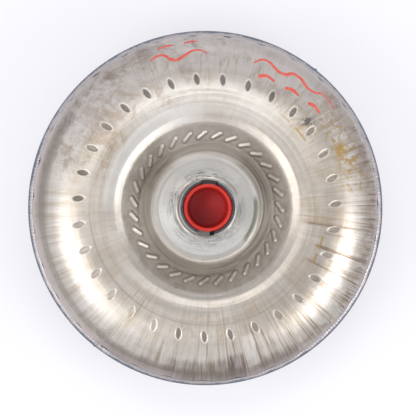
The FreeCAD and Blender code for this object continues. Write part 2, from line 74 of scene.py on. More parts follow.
def rounded(pts, step=0.6, closed=False, arc=None):
    """Points every step mm or so along (r, z) or (r, z, fillet) points."""
    pts = [tuple(p) for p in pts]
    n = len(pts)
    out = []

    def line(p, q):
        k = max(1, int(round(math.hypot(q[0] - p[0], q[1] - p[1]) / step)))
        for i in range(k):
            out.append((p[0] + (q[0] - p[0]) * i / k, p[1] + (q[1] - p[1]) * i / k))

    last = None
    first = None
    order = range(n) if closed else range(n)
    for i in order:
        p = pts[i]
        inner = closed or 0 < i < n - 1
        if inner and len(p) > 2 and p[2] > 0:
            t1, t2, c = corner(pts[i - 1], p, pts[(i + 1) % n], p[2])
            if last is not None:
                line(last, t1)
            if first is None:
                first = t1
            a1 = math.atan2(t1[1] - c[1], t1[0] - c[0])
            a2 = math.atan2(t2[1] - c[1], t2[0] - c[0])
            while a2 - a1 > math.pi:
                a2 -= 2 * math.pi
            while a2 - a1 < -math.pi:
                a2 += 2 * math.pi
            k = max(3, int(math.ceil(p[2] * abs(a2 - a1) / (arc or step))))
            for j in range(k):
                a = a1 + (a2 - a1) * j / k
                out.append((c[0] + p[2] * math.cos(a), c[1] + p[2] * math.sin(a)))
            last = t2
        else:
            q = (p[0], p[1])
            if last is not None:
                line(last, q)
            if first is None:
                first = q
            last = q
    if closed:
        line(last, first)
    else:
        out.append(last)
    keep = [out[0]]
    for p in out[1:]:
        if math.hypot(p[0] - keep[-1][0], p[1] - keep[-1][1]) > 1e-4:
            keep.append(p)
    return np.array(keep)


def resample(poly, density):
    """Points along a polyline, spaced by density(r, z) mm."""
    seg = np.hypot(*np.diff(poly, axis=0).T)
    s = np.concatenate([[0], np.cumsum(seg)])
    out, at = [poly[0]], 0.0
    while True:
        r, z = out[-1]
        at += density(r, z)
        if at >= s[-1] - 0.1:
            break
        out.append(np.array([np.interp(at, s, poly[:, 0]), np.interp(at, s, poly[:, 1])]))
    out.append(poly[-1])
    return np.array(out)


def smooth(x, a, b):
    t = np.clip((x - a) / (b - a), 0, 1)
    return t * t * (3 - 2 * t)


# ---------------------------------------------------------------- mesh helpers
def add_mesh(name, verts, faces, sharp=32.0, merge=2e-6):
    me = bpy.data.meshes.new(name)
    me.from_pydata([tuple(v) for v in np.asarray(verts, float) * MM], [], [tuple(int(i) for i in f) for f in faces])
    me.validate()
    bm = bmesh.new()
    bm.from_mesh(me)
    if merge:
        bmesh.ops.remove_doubles(bm, verts=bm.verts, dist=merge)
    bmesh.ops.recalc_face_normals(bm, faces=bm.faces)
    lim = RAD(sharp)
    for f in bm.faces:
        f.smooth = True
    for e in bm.edges:
        if len(e.link_faces) == 2:
            e.smooth = e.calc_face_angle(0.0) < lim
    bm.to_mesh(me)
    bm.free()
    ob = bpy.data.objects.new(name, me)
    bpy.context.scene.collection.objects.link(ob)
    return ob


def grid_faces(nt, m, closed_profile=True):
    """Quads of an nt by m grid that closes round the axis, and along the profile too if asked."""
    i = np.arange(nt)
    j = np.arange(m if closed_profile else m - 1)
    I, J = np.meshgrid(i, j, indexing="ij")
    I2, J2 = (I + 1) % nt, (J + 1) % m
    return np.stack([I * m + J, I2 * m + J, I2 * m + J2, I * m + J2], -1).reshape(-1, 4)


def lathe(name, outline, nt=256, sharp=32.0, move=None):
    """A closed (r, z) outline turned round the axis; move(r, z, theta) can shift the points."""
    out = np.asarray(outline)
    th = np.linspace(0, 2 * math.pi, nt, endpoint=False)
    R = np.repeat(out[None, :, 0], nt, 0)
    Zc = np.repeat(out[None, :, 1], nt, 0)
    T = np.repeat(th[:, None], len(out), 1)
    if move is not None:
        R, Zc = move(R, Zc, T)
    v = np.stack([R * np.cos(T), R * np.sin(T), Zc], -1).reshape(-1, 3)
    return add_mesh(name, v, grid_faces(nt, len(out)), sharp)


# ---------------------------------------------------------------- impeller shell, with its stampings
crease_x = CREASE_R + DOME_R * math.tan(RAD(35.5))
shell_path = [(35.35, FLAT_Z - 0.12), (35.55, FLAT_Z + 0.01), (41.5, FLAT_Z, 5), (63.0, 95.8, 13), (72.5, CREST_Z, 26), (crease_x, CREST_Z, DOME_R),
              (SHELL_R, CREST_Z - (SHELL_R - crease_x) * math.tan(RAD(71)), 6), (SHELL_R, 59.0)]


def shell_spacing(r, z):
    if 49.5 < r < 60:
        return 0.5
    if 89.8 < r < 101.6:
        return 0.55
    if r > 127.5:
        return 0.55
    return 1.35


fine = rounded(shell_path, 0.1)
prof = resample(fine, shell_spacing)
tan = np.gradient(prof, axis=0)
tan /= np.hypot(tan[:, 0], tan[:, 1])[:, None]
nor = np.stack([-tan[:, 1], tan[:, 0]], -1)
arc = np.concatenate([[0], np.cumsum(np.hypot(*np.diff(prof, axis=0).T))])


def arc_at(r):
    k = int(np.argmin(np.abs(prof[:, 0] - r)))
    return arc[k]


sub = np.concatenate([np.linspace(-2.9, 2.9, 19), np.linspace(2.9, PITCH - 2.9, 14)[1:-1]])
theta = np.concatenate([PHASE + k * PITCH + sub for k in range(BLADES)])
nt, m = len(theta), len(prof)
S = arc[None, :]
R0, Z0 = prof[None, :, 0], prof[None, :, 1]
rng = np.random.default_rng(7)
jit = rng.normal(0, 1, (BLADES, 6))
D = np.zeros((nt, m))
pit, ridge, lip = np.zeros((nt, m)), np.zeros((nt, m)), np.zeros((nt, m))
s_dim, s_tab, s_dent = arc_at(DIMPLE_R), arc_at(TAB_R), arc_at(DENT_R)
for k in range(BLADES):
    d = (theta[:, None] - (PHASE + k * PITCH) + 180) % 360 - 180
    near = np.abs(d) < PITCH * 0.75
    # stamped dimple
    u = S - s_dim
    v = RAD(1) * d * R0
    c, s = math.cos(RAD(10)), math.sin(RAD(10))
    u2, v2 = u * c + v * s, -u * s + v * c
    g = 1 - np.abs(u2 / 4.9) ** 2.3 - np.abs(v2 / 2.35) ** 1.45
    D -= np.where(near, (0.95 + 0.07 * jit[k, 0]) * smooth(g, 0.0, 0.55), 0)
    pit = np.maximum(pit, np.where(near, smooth(g, 0.10, 0.50), 0))
    rim = np.exp(-((g + 0.22) / 0.16) ** 2)
    D += np.where(near & (np.abs(u) < 9), 0.10 * rim, 0)
    lip = np.maximum(lip, np.where(near & (np.abs(u) < 9), rim, 0))
    # raised tab on the conical wall
    d2 = (theta[:, None] - (PHASE + TAB_SHIFT + k * PITCH) + 180) % 360 - 180
    near2 = np.abs(d2) < PITCH * 0.75
    u = S - s_tab
    v = RAD(1) * d2 * R0
    ax = np.array([-3.55, 3.0])
    ln = np.hypot(*ax)
    e = ax / ln
    al = u * e[0] + v * e[1]
    cr = -u * e[1] + v * e[0] + 0.22 * np.sin(np.clip(al / ln, -1.2, 1.2) * 2.6)
    dist = np.hypot(np.maximum(np.abs(al) - ln * 0.80, 0), cr)
    D += np.where(near2, (1.0 + 0.05 * jit[k, 1]) * (1 - smooth(dist, 0.05, 2.05)), 0)
    ridge = np.maximum(ridge, np.where(near2, np.exp(-((dist - 2.0) / 0.75) ** 2), 0))
    D -= np.where(near2, 0.12 * np.exp(-((dist - 2.7) / 0.9) ** 2), 0)
    # dent over the blade's outer tab: a wedge, wide at the weld
    u = S - s_dent
    v = RAD(1) * d * R0 + 0.25 * jit[k, 2]
    half = np.clip(1.6 + (u + 2.6) * 1.05, 0.3, 5.4)
    g = (1 - np.abs(v) / half) * smooth(u, -3.0 + 0.3 * jit[k, 3], 0.4) * (1 - smooth(u, 2.6, 5.2))
    D -= np.where(near, (0.85 + 0.12 * jit[k, 4]) * smooth(g, 0.0, 0.7), 0)
    pit = np.maximum(pit, np.where(near, 0.25 * smooth(g, 0.1, 0.6), 0))
# the skirt swells a little between the dents, and the whole pressing waves slightly
ph = RAD(1) * (theta[:, None] - PHASE) * BLADES
D += 0.16 * (0.5 - 0.5 * np.cos(ph)) * smooth(R0, 125.5, 130.5)
for a, b, c0 in ((2, 0.06, 0.4), (3, 0.05, 1.9), (5, 0.035, 0.2), (9, 0.02, 2.2)):
    D += b * np.sin(a * RAD(1) * theta[:, None] + c0 + S * 0.03) * smooth(R0, 60, 80)
# rings left by forming: shallow steps either side of the crest
for rr, hh, ww in ((39.9, 0.06, 0.5), (43.6, 0.10, 0.7), (46.6, 0.08, 0.6), (48.9, -0.06, 0.7), (62.6, 0.11, 0.9), (66.0, 0.05, 0.7), (69.3, -0.06, 0.9),
                   (72.4, 0.11, 0.9), (76.5, 0.05, 1.0), (80.2, -0.05, 1.2), (CREASE_R + 0.4, 0.05, 1.1), (98.9, 0.03, 1.3)):
    D -= hh * np.exp(-((R0 - rr) / ww) ** 2)
# the hub's joint shows as a partly filled groove
lobe = smooth(np.cos(RAD(1) * (theta[:, None] + 14)), 0.90, 0.985)
D -= (0.85 * lobe) * np.exp(-((R0 - 37.5) / 0.85) ** 2)
Rr = R0 + nor[None, :, 0] * D
Zz = Z0 + nor[None, :, 1] * D
inner = np.array([(SHELL_R, 51.2), (SHELL_R - 0.4, 51.0), (SHELL_R - SHELL_T, 51.0), (SHELL_R - SHELL_T, 62.0), (127.0, 68.0), (123.0, 77.0), (117.0, 84.5), (108.0, 91.5),
                  (97.0, 95.8), (86.5, 96.8), (78.0, 96.8), (70.0, 95.4), (63.5, 92.4), (58.0, 87.0), (50.0, 79.2), (45.0, 74.0), (41.0, 71.8), (36.2, 71.8)])
T = np.repeat(RAD(1) * theta[:, None], m + len(inner), 1)
Rr = np.concatenate([Rr, np.repeat(inner[None, :, 0], nt, 0)], 1)
Zz = np.concatenate([Zz, np.repeat(inner[None, :, 1], nt, 0)], 1)
verts = np.stack([Rr * np.cos(T), Rr * np.sin(T), Zz], -1).reshape(-1, 3)
shell = add_mesh("impeller_shell_skin", verts, grid_faces(nt, m + len(inner)), 50.0, merge=0)
for word, values in (("pressed", pit), ("foot", ridge), ("lip", lip)):
    full = np.concatenate([values, np.zeros((nt, len(inner)))], 1).astype(np.float32)
    shell.data.attributes.new(word, "FLOAT", "POINT").data.foreach_set("value", full.ravel())


def shell_point(x, y):
    """Point and normal on the shell's undented face above (x, y) mm."""
    r = math.hypot(x, y)
    z = float(np.interp(r, prof[:, 0], prof[:, 1]))
    k = int(np.clip(np.searchsorted(prof[:, 0], r), 1, m - 2))
    n = Vector((nor[k, 0] * x / r, nor[k, 0] * y / r, nor[k, 1])).normalized()
    return Vector((x, y, z)), n


# ---------------------------------------------------------------- closing weld
NW = 1488


def weld_move(R, Zc, T):
    deg = np.degrees(T)
    wob = 0.12 * np.sin(9 * T + 1.0) + 0.10 * np.sin(23 * T) + 0.07 * np.sin(61 * T + 2) + 0.22 * np.abs(np.sin((T - RAD(PHASE)) * BLADES / 2))
    rip = 0.10 * np.sin(T * 330 + (Zc - 60) * 0.9)
    out = smooth(R, 132.4, 134.2) * smooth(Zc, 59.7, 60.6)
    swell = np.zeros_like(R)
    for a in LUMPS:
        d = (deg - a + 180) % 360 - 180
        swell += 1.9 * np.exp(-(d / 0.6) ** 2) + 0.65 * np.exp(-((d - 1.6) / 0.8) ** 2) + 0.5 * np.exp(-((d - 4.6) / 2.6) ** 2)
    R = R + out * (wob + rip + swell * 0.75)
    Zc = Zc + smooth(Zc, 60.3, 62.5) * (wob * 1.5 + swell * 1.0 + rip)
    return R, Zc


bead = [(SHELL_R - 0.35, LIP_Z - 0.4), (SHELL_R - 0.35, LIP_Z + 3.6), (SHELL_R + 0.5, LIP_Z + 3.2, 0.5), (COVER_R - 1.7, LIP_Z + 2.2, 1.5), (COVER_R - 0.9, LIP_Z + 0.2, 0.5), (COVER_R - 1.0, LIP_Z - 0.4)]
weld = lathe("closing_weld_bead", rounded(bead, 0.45, closed=True), NW, 60.0, weld_move)

# ---------------------------------------------------------------- front cover
cover_pts = [(0, 9.0), (42, 9.0, 6), (56, 14.0, 8), (67.5, 14.0, 4), (71, 12.0, 4), (87, 12.0, 4), (90.5, 14.0, 4), (COVER_R, 14.0, 12),
             (COVER_R, 55.0), (COVER_R - 0.18, 55.3), (COVER_R - 0.18, 59.3), (COVER_R - 0.7, LIP_Z), (131.7, LIP_Z),
             (131.7, 18.42, 7), (91.5, 18.42, 4), (88, 16.5, 4), (70, 16.5, 4), (66.5, 18.5, 4), (54, 18.5, 8), (40, 13.5, 6), (0, 13.5)]


def cover_move(R, Zc, T):
    # drawn skirt: slight ovality and draw waves
    k = smooth(R, 130, 134.5) * smooth(Zc, 24, 34) * (1 - smooth(Zc, 53, 56))
    R = R - k * (0.05 + 0.03 * np.sin(2 * T + 0.5) + 0.02 * np.sin(7 * T + 1.3) + 0.012 * np.sin(31 * T + Zc * 0.2))
    return R, Zc


cover = lathe("front_cover_shell", rounded(cover_pts, 2.2, arc=1.2), 512, 28.0, cover_move)

# ---------------------------------------------------------------- pump hub with its drive slots
hub_pts = [(HUB_BORE, 69.8), (HUB_BORE, HUB_END - 0.9), (HUB_BORE + 0.9, HUB_END), (HUB_R - 0.9, HUB_END), (HUB_R, HUB_END - 0.9), (HUB_R, 76.5),
           (HUB_R, FLAT_Z, 3.0), (HUB_FLANGE_R - 0.12, FLAT_Z), (HUB_FLANGE_R, FLAT_Z - 0.12), (HUB_FLANGE_R, 69.0), (HUB_BORE + 0.8, 69.0)]
hub = lathe("pump_hub_body", rounded(hub_pts, 1.5, closed=True, arc=0.6), 240, 25.0)


def cut(ob, sx, sy, sz, at, turn, radius):
    bm = bmesh.new()
    bmesh.ops.create_cube(bm, size=1.0)
    bmesh.ops.scale(bm, vec=(sx * MM, sy * MM, sz * MM), verts=bm.verts)
    low = [e for e in bm.edges if abs(e.verts[0].co.z - e.verts[1].co.z) < 1e-7 and e.verts[0].co.z < 0 and abs(e.verts[0].co.y - e.verts[1].co.y) > 1e-6]
    bmesh.ops.bevel(bm, geom=low, offset=radius * MM, segments=6, affect="EDGES", profile=0.5)
    me = bpy.data.meshes.new("cutter")
    bm.to_mesh(me)
    bm.free()
    c = bpy.data.objects.new("cutter", me)
    bpy.context.scene.collection.objects.link(c)
    c.matrix_world = Matrix.Rotation(RAD(turn), 4, "Z") @ Matrix.Translation(Vector(at) * MM)
    bpy.context.view_layer.update()
    mod = ob.modifiers.new("cut", "BOOLEAN")
    mod.operation, mod.object, mod.solver = "DIFFERENCE", c, "EXACT"
    dg = bpy.context.evaluated_depsgraph_get()
    new = bpy.data.meshes.new_from_object(ob.evaluated_get(dg))
    ob.modifiers.clear()
    ob.data = new
    bpy.data.objects.remove(c)


cut(hub, SLOT_W, 60.0, SLOT_D + 6, (0, 0, HUB_END - SLOT_D + (SLOT_D + 6) / 2), SLOT_TURN, 1.2)


def soften(ob, width, segments=2, angle=30.0):
    """Bevels sharp edges into the mesh, so that no edge is a knife's."""
    bm = bmesh.new()
    bm.from_mesh(ob.data)
    bmesh.ops.dissolve_degenerate(bm, dist=1e-6, edges=bm.edges)
    es = [e for e in bm.edges if len(e.link_faces) == 2 and e.calc_face_angle(0.0) > RAD(angle)]
    bmesh.ops.bevel(bm, geom=es, offset=width * MM, segments=segments, affect="EDGES", clamp_overlap=True)
    for f in bm.faces:
        f.smooth = True
    for e in bm.edges:
        if len(e.link_faces) == 2:
            e.smooth = e.calc_face_angle(0.0) < RAD(38)
    bm.to_mesh(ob.data)
    bm.free()


# ---------------------------------------------------------------- shipping plug
plug_pts = [(0, 101.4), (15.6, 101.4, 1.2), (16.9, 104.0), (17.3, 117.0), (17.5, 121.0, 1.2), (15.0, 121.0, 1.0), (14.8, 118.2, 1.2), (14.2, 106.5, 4.0), (7.0, 103.4, 12.0), (0, 102.9)]


def plug_move(R, Zc, T):
    # moulded: a slightly uneven rim
    Zc = Zc + smooth(Zc, 119, 121) * (0.10 * np.sin(T + 0.9) + 0.05 * np.sin(3 * T))
    return R, Zc


plug = lathe("shipping_plug_cup", rounded(plug_pts, 1.1, arc=0.35), 160, 60.0, plug_move)

# ---------------------------------------------------------------- crankshaft pilot and its weld
pilot_pts = [(0, 3.6), (2.3, 1.5, 0.2), (14.6, 1.5, 0.3), (16.0, 2.9, 0.3), (16.0, 7.4, 0.6), (22.0, 7.4, 0.3), (22.0, 9.05), (0, 9.05)]
pilot = lathe("pilot_boss_turned", rounded(pilot_pts, 1.0, arc=0.3), 160, 30.0)


def pilot_weld_move(R, Zc, T):
    rip = 0.13 * np.sin(T * 46 + (R - 22) * 1.6)
    k = 1 - smooth(Zc, 8.3, 9.0)
    return R + k * rip, Zc - k * (0.2 + rip)


pw = lathe("pilot_weld_bead", rounded([(21.8, 7.5), (22.8, 7.6, 0.4), (24.4, 8.5, 0.6), (25.0, 9.05), (21.8, 9.05)], 0.4, closed=True), 368, 60.0, pilot_weld_move)

# ---------------------------------------------------------------- set blocks with tapped holes
PCD = 224.0
BW, BL, BH = 27.0, 20.0, 14.0


def block_outline(grow):
    l, w = BL / 2 + grow, BW / 2 + grow
    c = 5.0 + grow
    return [(-l, -w + 2), (-l, w - 2), (-l + 2, w), (l - c, w), (l, w - c * 1.5), (l, -w + c * 1.5), (l - c, -w), (-l + 2, -w)]


def ray_out(poly, a):
    """Distance from the origin to a polygon's edge in direction a."""
    dx, dy = math.cos(a), math.sin(a)
    best = 1e9
    for i in range(len(poly)):
        x1, y1 = poly[i]
        x2, y2 = poly[(i + 1) % len(poly)]
        ex, ey = x2 - x1, y2 - y1
        den = dx * ey - dy * ex
        if abs(den) < 1e-9:
            continue
        t = (x1 * ey - y1 * ex) / den
        u = (x1 * dy - y1 * dx) / den
        if t > 0 and -1e-6 <= u <= 1 + 1e-6:
            best = min(best, t)
    return best


def set_block_mesh():
    angles = sorted(set([2 * math.pi * i / 96 for i in range(96)] + [math.atan2(y, x) % (2 * math.pi) for x, y in block_outline(0)]))
    rows = []

    def loop(fn):
        rows.append([fn(a) for a in angles])

    out = {g: [ray_out(block_outline(g), a) for a in angles] for g in (0, -0.7, -0.25)}
    idx = {a: i for i, a in enumerate(angles)}
    # blind end of the hole, then up the thread to the mouth, over the face and down the sides
    loop(lambda a: (0.02 * math.cos(a), 0.02 * math.sin(a), 13.4))
    loop(lambda a: (4.2 * math.cos(a), 4.2 * math.sin(a), 11.7))
    P = 1.25
    zz = 11.4
    while zz > 0.5:
        def fn(a, zz=zz):
            ph = (zz / P - a / (2 * math.pi)) % 1.0
            tri = 1 - abs(2 * ph - 1)
            fade = min(1.0, max(0.0, (11.2 - zz) / 1.5)) * min(1.0, max(0.0, (zz - 0.4) / 1.0) + 0.25)
            r = 4.35 + 0.62 * max(0.0, min(1.0, tri * 1.35 - 0.12)) * fade
            return (r * math.cos(a), r * math.sin(a), zz)
        loop(fn)
        zz -= 0.2
    loop(lambda a: (5.15 * math.cos(a), 5.15 * math.sin(a), 0.42))
    loop(lambda a: (5.6 * math.cos(a), 5.6 * math.sin(a), 0.0))
    loop(lambda a: (out[-0.7][idx[a]] * math.cos(a), out[-0.7][idx[a]] * math.sin(a), 0.0))
    loop(lambda a: (out[-0.25][idx[a]] * math.cos(a), out[-0.25][idx[a]] * math.sin(a), 0.22))
    loop(lambda a: (out[0][idx[a]] * math.cos(a), out[0][idx[a]] * math.sin(a), 0.7))
    for z in (5.0, 9.5, 14.05):
        loop(lambda a, z=z: (out[0][idx[a]] * math.cos(a), out[0][idx[a]] * math.sin(a), z))
    loop(lambda a: (0.02 * math.cos(a), 0.02 * math.sin(a), 14.05))
    n = len(angles)
    v = np.array([p for row in rows for p in row])
    f = []
    for k in range(len(rows) - 1):
        for i in range(n):
            j = (i + 1) % n
            f.append((k * n + i, k * n + j, (k + 1) * n + j, (k + 1) * n + i))
    f.append(tuple(range(n)))
    f.append(tuple(range((len(rows) - 1) * n, len(rows) * n)))
    return v, f


def bead_mesh(seed):
    """The weld round a block: a quarter-round bead with the ripples a welder leaves."""
    poly = block_outline(0)
    # walk the outline with rounded corners
    pts = rounded([(x, y, 1.6) for x, y in poly], 0.35, closed=True)
    n = len(pts)
    t = np.roll(pts, -1, 0) - np.roll(pts, 1, 0)
    t /= np.hypot(t[:, 0], t[:, 1])[:, None]
    o = np.stack([-t[:, 1], t[:, 0]], -1)
    if np.sum(o * pts) < 0:
        o = -o
    s = np.concatenate([[0], np.cumsum(np.hypot(*np.diff(pts, axis=0).T))])
    rg = np.random.default_rng(seed)
    ph = rg.uniform(0, 6)
    prof_ = [(-0.7, 11.9), (0.0, 11.55), (0.8, 11.7), (1.6, 12.3), (2.2, 13.1), (2.5, 14.05), (-0.7, 14.05)]
    v = []
    for i in range(n):
        w = 1 + 0.10 * math.sin(s[i] * 0.55 + ph) + 0.05 * math.sin(s[i] * 1.3)
        for q, (x, z) in enumerate(prof_):
            rip = 0.16 * math.sin(s[i] * 2 * math.pi / 1.9 + 0.5 * x) if 0 < q < 6 else 0
            xx = x * w + (rip if x > 0 else 0)
            zz = z - (rip * 0.8 if z < 14 else 0)
            v.append((pts[i, 0] + o[i, 0] * xx, pts[i, 1] + o[i, 1] * xx, zz))
    return np.array(v), grid_faces(n, len(prof_))


bv, bf = set_block_mesh()
allv, allf, wv, wf = [], [], [], []
for k in range(6):
    a = 2 * math.pi * k / 6
    Rm = np.array([[math.cos(a), -math.sin(a), 0], [math.sin(a), math.cos(a), 0], [0, 0, 1]])
    base = sum(len(x) for x in allv)
    allv.append((bv + np.array([PCD / 2, 0, 0])) @ Rm.T)
    allf += [tuple(i + base for i in f) for f in bf]
    v, f = bead_mesh(k)
    base = sum(len(x) for x in wv)
    wv.append((v + np.array([PCD / 2, 0, 0])) @ Rm.T)
    wf += [tuple(int(i) + base for i in q) for q in f]
blocks = add_mesh("set_blocks_tapped", np.concatenate(allv), allf, 35.0, merge=0)
block_welds = add_mesh("set_block_weld_beads", np.concatenate(wv), wf, 60.0, merge=0)


# ---------------------------------------------------------------- marker strokes
def stroke(points, width):
    """A thin closed ribbon of paint on the shell along (x, y) mm points, tapering at its ends."""
    p = np.array(points, float)
    d = np.concatenate([[0], np.cumsum(np.hypot(*np.diff(p, axis=0).T))])
    k = max(8, int(d[-1] / 0.7))
    # Catmull-Rom through the points
    q = []
    for i in range(k + 1):
        s = d[-1] * i / k
        j = int(np.clip(np.searchsorted(d, s) - 1, 0, len(p) - 2))
        u = (s - d[j]) / max(d[j + 1] - d[j], 1e-9)
        p0, p1, p2, p3 = p[max(j - 1, 0)], p[j], p[j + 1], p[min(j + 2, len(p) - 1)]
        q.append(0.5 * ((2 * p1) + (-p0 + p2) * u + (2 * p0 - 5 * p1 + 4 * p2 - p3) * u * u + (-p0 + 3 * p1 - 3 * p2 + p3) * u ** 3))
    q = np.array(q)
    v = []
    for i in range(len(q)):
        c, n = shell_point(*q[i])
        c2, _ = shell_point(*q[min(i + 1, len(q) - 1)])
        c1, _ = shell_point(*q[max(i - 1, 0)])
        t = (c2 - c1).normalized()
        side = n.cross(t).normalized()
        f = i / (len(q) - 1)
        w = width * (0.62 + 0.38 * math.sin(math.pi * min(1, f * 1.3)) + 0.10 * math.sin(f * 9 + q[0][0]))
        w *= min(1.0, 0.35 + f * 9) * min(1.0, 0.25 + (1 - f) * 7)
        for x, h in ((-0.5, -0.25), (-0.46, 0.05), (-0.2, 0.075), (0.2, 0.075), (0.46, 0.05), (0.5, -0.25)):
            v.append(tuple(c + side * (x * w) + n * h))
    mm_ = 6
    f = []
    for i in range(len(q) - 1):
        for j in range(mm_):
            f.append((i * mm_ + j, (i + 1) * mm_ + j, (i + 1) * mm_ + (j + 1) % mm_, i * mm_ + (j + 1) % mm_))
    f.append(tuple(range(mm_)))
    f.append(tuple(range((len(q) - 1) * mm_, len(q) * mm_)))
    return v, f


def at(px, py, z=84.0):
    """Millimetres on the object for a place in the picture's frame, at about height z."""
    k = 0.7606 * (1540.0 - (z - 60.0)) / 1540.0
    return ((px - 205.7 - (z - 60) * 0.0345) * k, (208.0 - py + (z - 60) * 0.006) * k)


marks = [
    ([(150, 62), (157, 57), (164, 56), (170, 60), (177, 61), (185, 56), (193, 51), (201, 51), (208, 54)], 3.0),              # a short wavy swipe
    ([(158, 49), (166, 46), (174, 45)], 3.2), ([(184, 43), (191, 41), (198, 41)], 3.2),                                    # two dabs over it
    ([(253, 64), (262, 60), (270, 63), (277, 71), (285, 75), (293, 74), (301, 79), (307, 88), (315, 93), (323, 94), (330, 101), (335, 110)], 3.6),  # a long wavy swipe
    ([(257, 78), (266, 77), (274, 83)], 3.4), ([(284, 89), (292, 91), (298, 97)], 3.4), ([(307, 104), (314, 107), (319, 114)], 3.4),              # three dabs under it
]
mv, mf = [], []
for pts, w in marks:
    v, f = stroke([at(*p) for p in pts], w * 0.95)
    base = len(mv)
    mv += v
    mf += [tuple(i + base for i in q) for q in f]
paint = add_mesh("paint_marks", np.array(mv), mf, 60.0, merge=0)


# ---------------------------------------------------------------- materials
class Mat:
    """A small builder for a node material on object coordinates, in metres."""

    def __init__(self, name):
        self.m = bpy.data.materials.new(name)
        self.m.use_nodes = True
        self.t = self.m.node_tree
        self.t.nodes.clear()
        self.out = self.t.nodes.new("ShaderNodeOutputMaterial")
        self.b = self.t.nodes.new("ShaderNodeBsdfPrincipled")
        self.t.links.new(self.b.outputs[0], self.out.inputs[0])
        tc = self.t.nodes.new("ShaderNodeTexCoord")
        self.co = tc.outputs["Object"]
        sep = self.t.nodes.new("ShaderNodeSeparateXYZ")
        self.t.links.new(self.co, sep.inputs[0])
        self.x, self.y, self.z = sep.outputs
        self._r = None

    def put(self, socket, value):
        if isinstance(value, bpy.types.NodeSocket):
            self.t.links.new(value, socket)
        elif isinstance(value, (tuple, list)) and len(value) == 3 and socket.type == "RGBA":
            socket.default_value = (*value, 1.0)
        else:
            socket.default_value = value

    def math(self, op, a, b=0.0, c=None, clamp=False):
        n = self.t.nodes.new("ShaderNodeMath")
        n.operation, n.use_clamp = op, clamp
        self.put(n.inputs[0], a)
        self.put(n.inputs[1], b)
        if c is not None:
            self.put(n.inputs[2], c)
        return n.outputs[0]

    def add(self, a, b):
        return self.math("ADD", a, b)

    def sub(self, a, b):
        return self.math("SUBTRACT", a, b)

    def mul(self, a, b, clamp=False):
        return self.math("MULTIPLY", a, b, clamp=clamp)

    def step(self, v, a, b):
        n = self.t.nodes.new("ShaderNodeMapRange")
        n.interpolation_type = "SMOOTHSTEP"
        self.put(n.inputs["Value"], v)
        n.inputs["From Min"].default_value, n.inputs["From Max"].default_value = a, b
        return n.outputs[0]

    def band(self, v, centre, half, soft):
        """1 within half of centre, falling to 0 over soft."""
        d = self.math("ABSOLUTE", self.sub(v, centre))
        return self.sub(1.0, self.step(d, half, half + soft))

    @property
    def r(self):
        if self._r is None:
            self._r = self.math("SQRT", self.add(self.mul(self.x, self.x), self.mul(self.y, self.y)))
        return self._r

    def unit(self):
        """cos and sin of the angle round the axis."""
        r = self.math("MAXIMUM", self.r, 1e-5)
        return self.math("DIVIDE", self.x, r), self.math("DIVIDE", self.y, r)

    def toward(self, deg):
        """Cosine of the angle from the direction deg round the axis."""
        c, s = self.unit()
        return self.add(self.mul(c, math.cos(RAD(deg))), self.mul(s, math.sin(RAD(deg))))

    def sector(self, deg, half, soft):
        return self.step(self.toward(deg), math.cos(RAD(min(180, half + soft))), math.cos(RAD(half)))

    def vec(self, a, b, c):
        n = self.t.nodes.new("ShaderNodeCombineXYZ")
        for i, v in enumerate((a, b, c)):
            self.put(n.inputs[i], v)
        return n.outputs[0]

    def attr(self, name):
        n = self.t.nodes.new("ShaderNodeAttribute")
        n.attribute_type, n.attribute_name = "GEOMETRY", name
        return n.outputs["Fac"]

    def noise(self, vec=None, scale=10.0, detail=3.0, rough=0.5, distort=0.0):
        n = self.t.nodes.new("ShaderNodeTexNoise")
        self.put(n.inputs["Vector"], vec if vec is not None else self.co)
        n.inputs["Scale"].default_value = scale
        n.inputs["Detail"].default_value = detail
        n.inputs["Roughness"].default_value = rough
        n.inputs["Distortion"].default_value = distort
        return n.outputs[0]

    def voronoi(self, vec=None, scale=10.0, feature="F1"):
        n = self.t.nodes.new("ShaderNodeTexVoronoi")
        n.feature = feature
        self.put(n.inputs["Vector"], vec if vec is not None else self.co)
        n.inputs["Scale"].default_value = scale
        return n.outputs[0]

    def mix(self, f, a, b, kind="MIX"):
        n = self.t.nodes.new("ShaderNodeMix")
        n.data_type, n.blend_type = "RGBA", kind
        self.put(n.inputs[0], f)
        self.put(n.inputs[6], a)
        self.put(n.inputs[7], b)
        return n.outputs[2]

    def mixf(self, f, a, b):
        n = self.t.nodes.new("ShaderNodeMix")
        n.data_type = "FLOAT"
        self.put(n.inputs[0], f)
        self.put(n.inputs[2], a)
        self.put(n.inputs[3], b)
        return n.outputs[0]

    def radial(self, freq, along=20.0):
        """Coordinates for streaks that run outwards: fine round the axis, long along it."""
        c, s = self.unit()
        return self.vec(self.mul(c, freq), self.mul(s, freq), self.mul(self.sub(self.r, self.z), along))

    def rings(self, freq, wander=1.5):
        """Coordinates for lines that run round the axis."""
        c, s = self.unit()
        return self.vec(self.mul(self.r, freq), self.mul(self.z, freq), self.add(self.mul(c, wander), self.mul(s, wander * 0.7)))

    def bump(self, *layers):
        """layers: (height, distance in metres) pairs."""
        last = None
        for h, d in layers:
            n = self.t.nodes.new("ShaderNodeBump")
            n.inputs["Distance"].default_value = d
            n.inputs["Strength"].default_value = 1.0
            self.put(n.inputs["Height"], h)
            if last is not None:
                self.t.links.new(last, n.inputs["Normal"])
            last = n.outputs[0]
        self.t.links.new(last, self.b.inputs["Normal"])

    def done(self, color, rough, metallic=1.0, **more):
        self.put(self.b.inputs["Base Color"], color)
        self.put(self.b.inputs["Roughness"], rough)
        self.put(self.b.inputs["Metallic"], metallic)
        for k, v in more.items():
            self.put(self.b.inputs[k.replace("_", " ")], v)
        return self.m


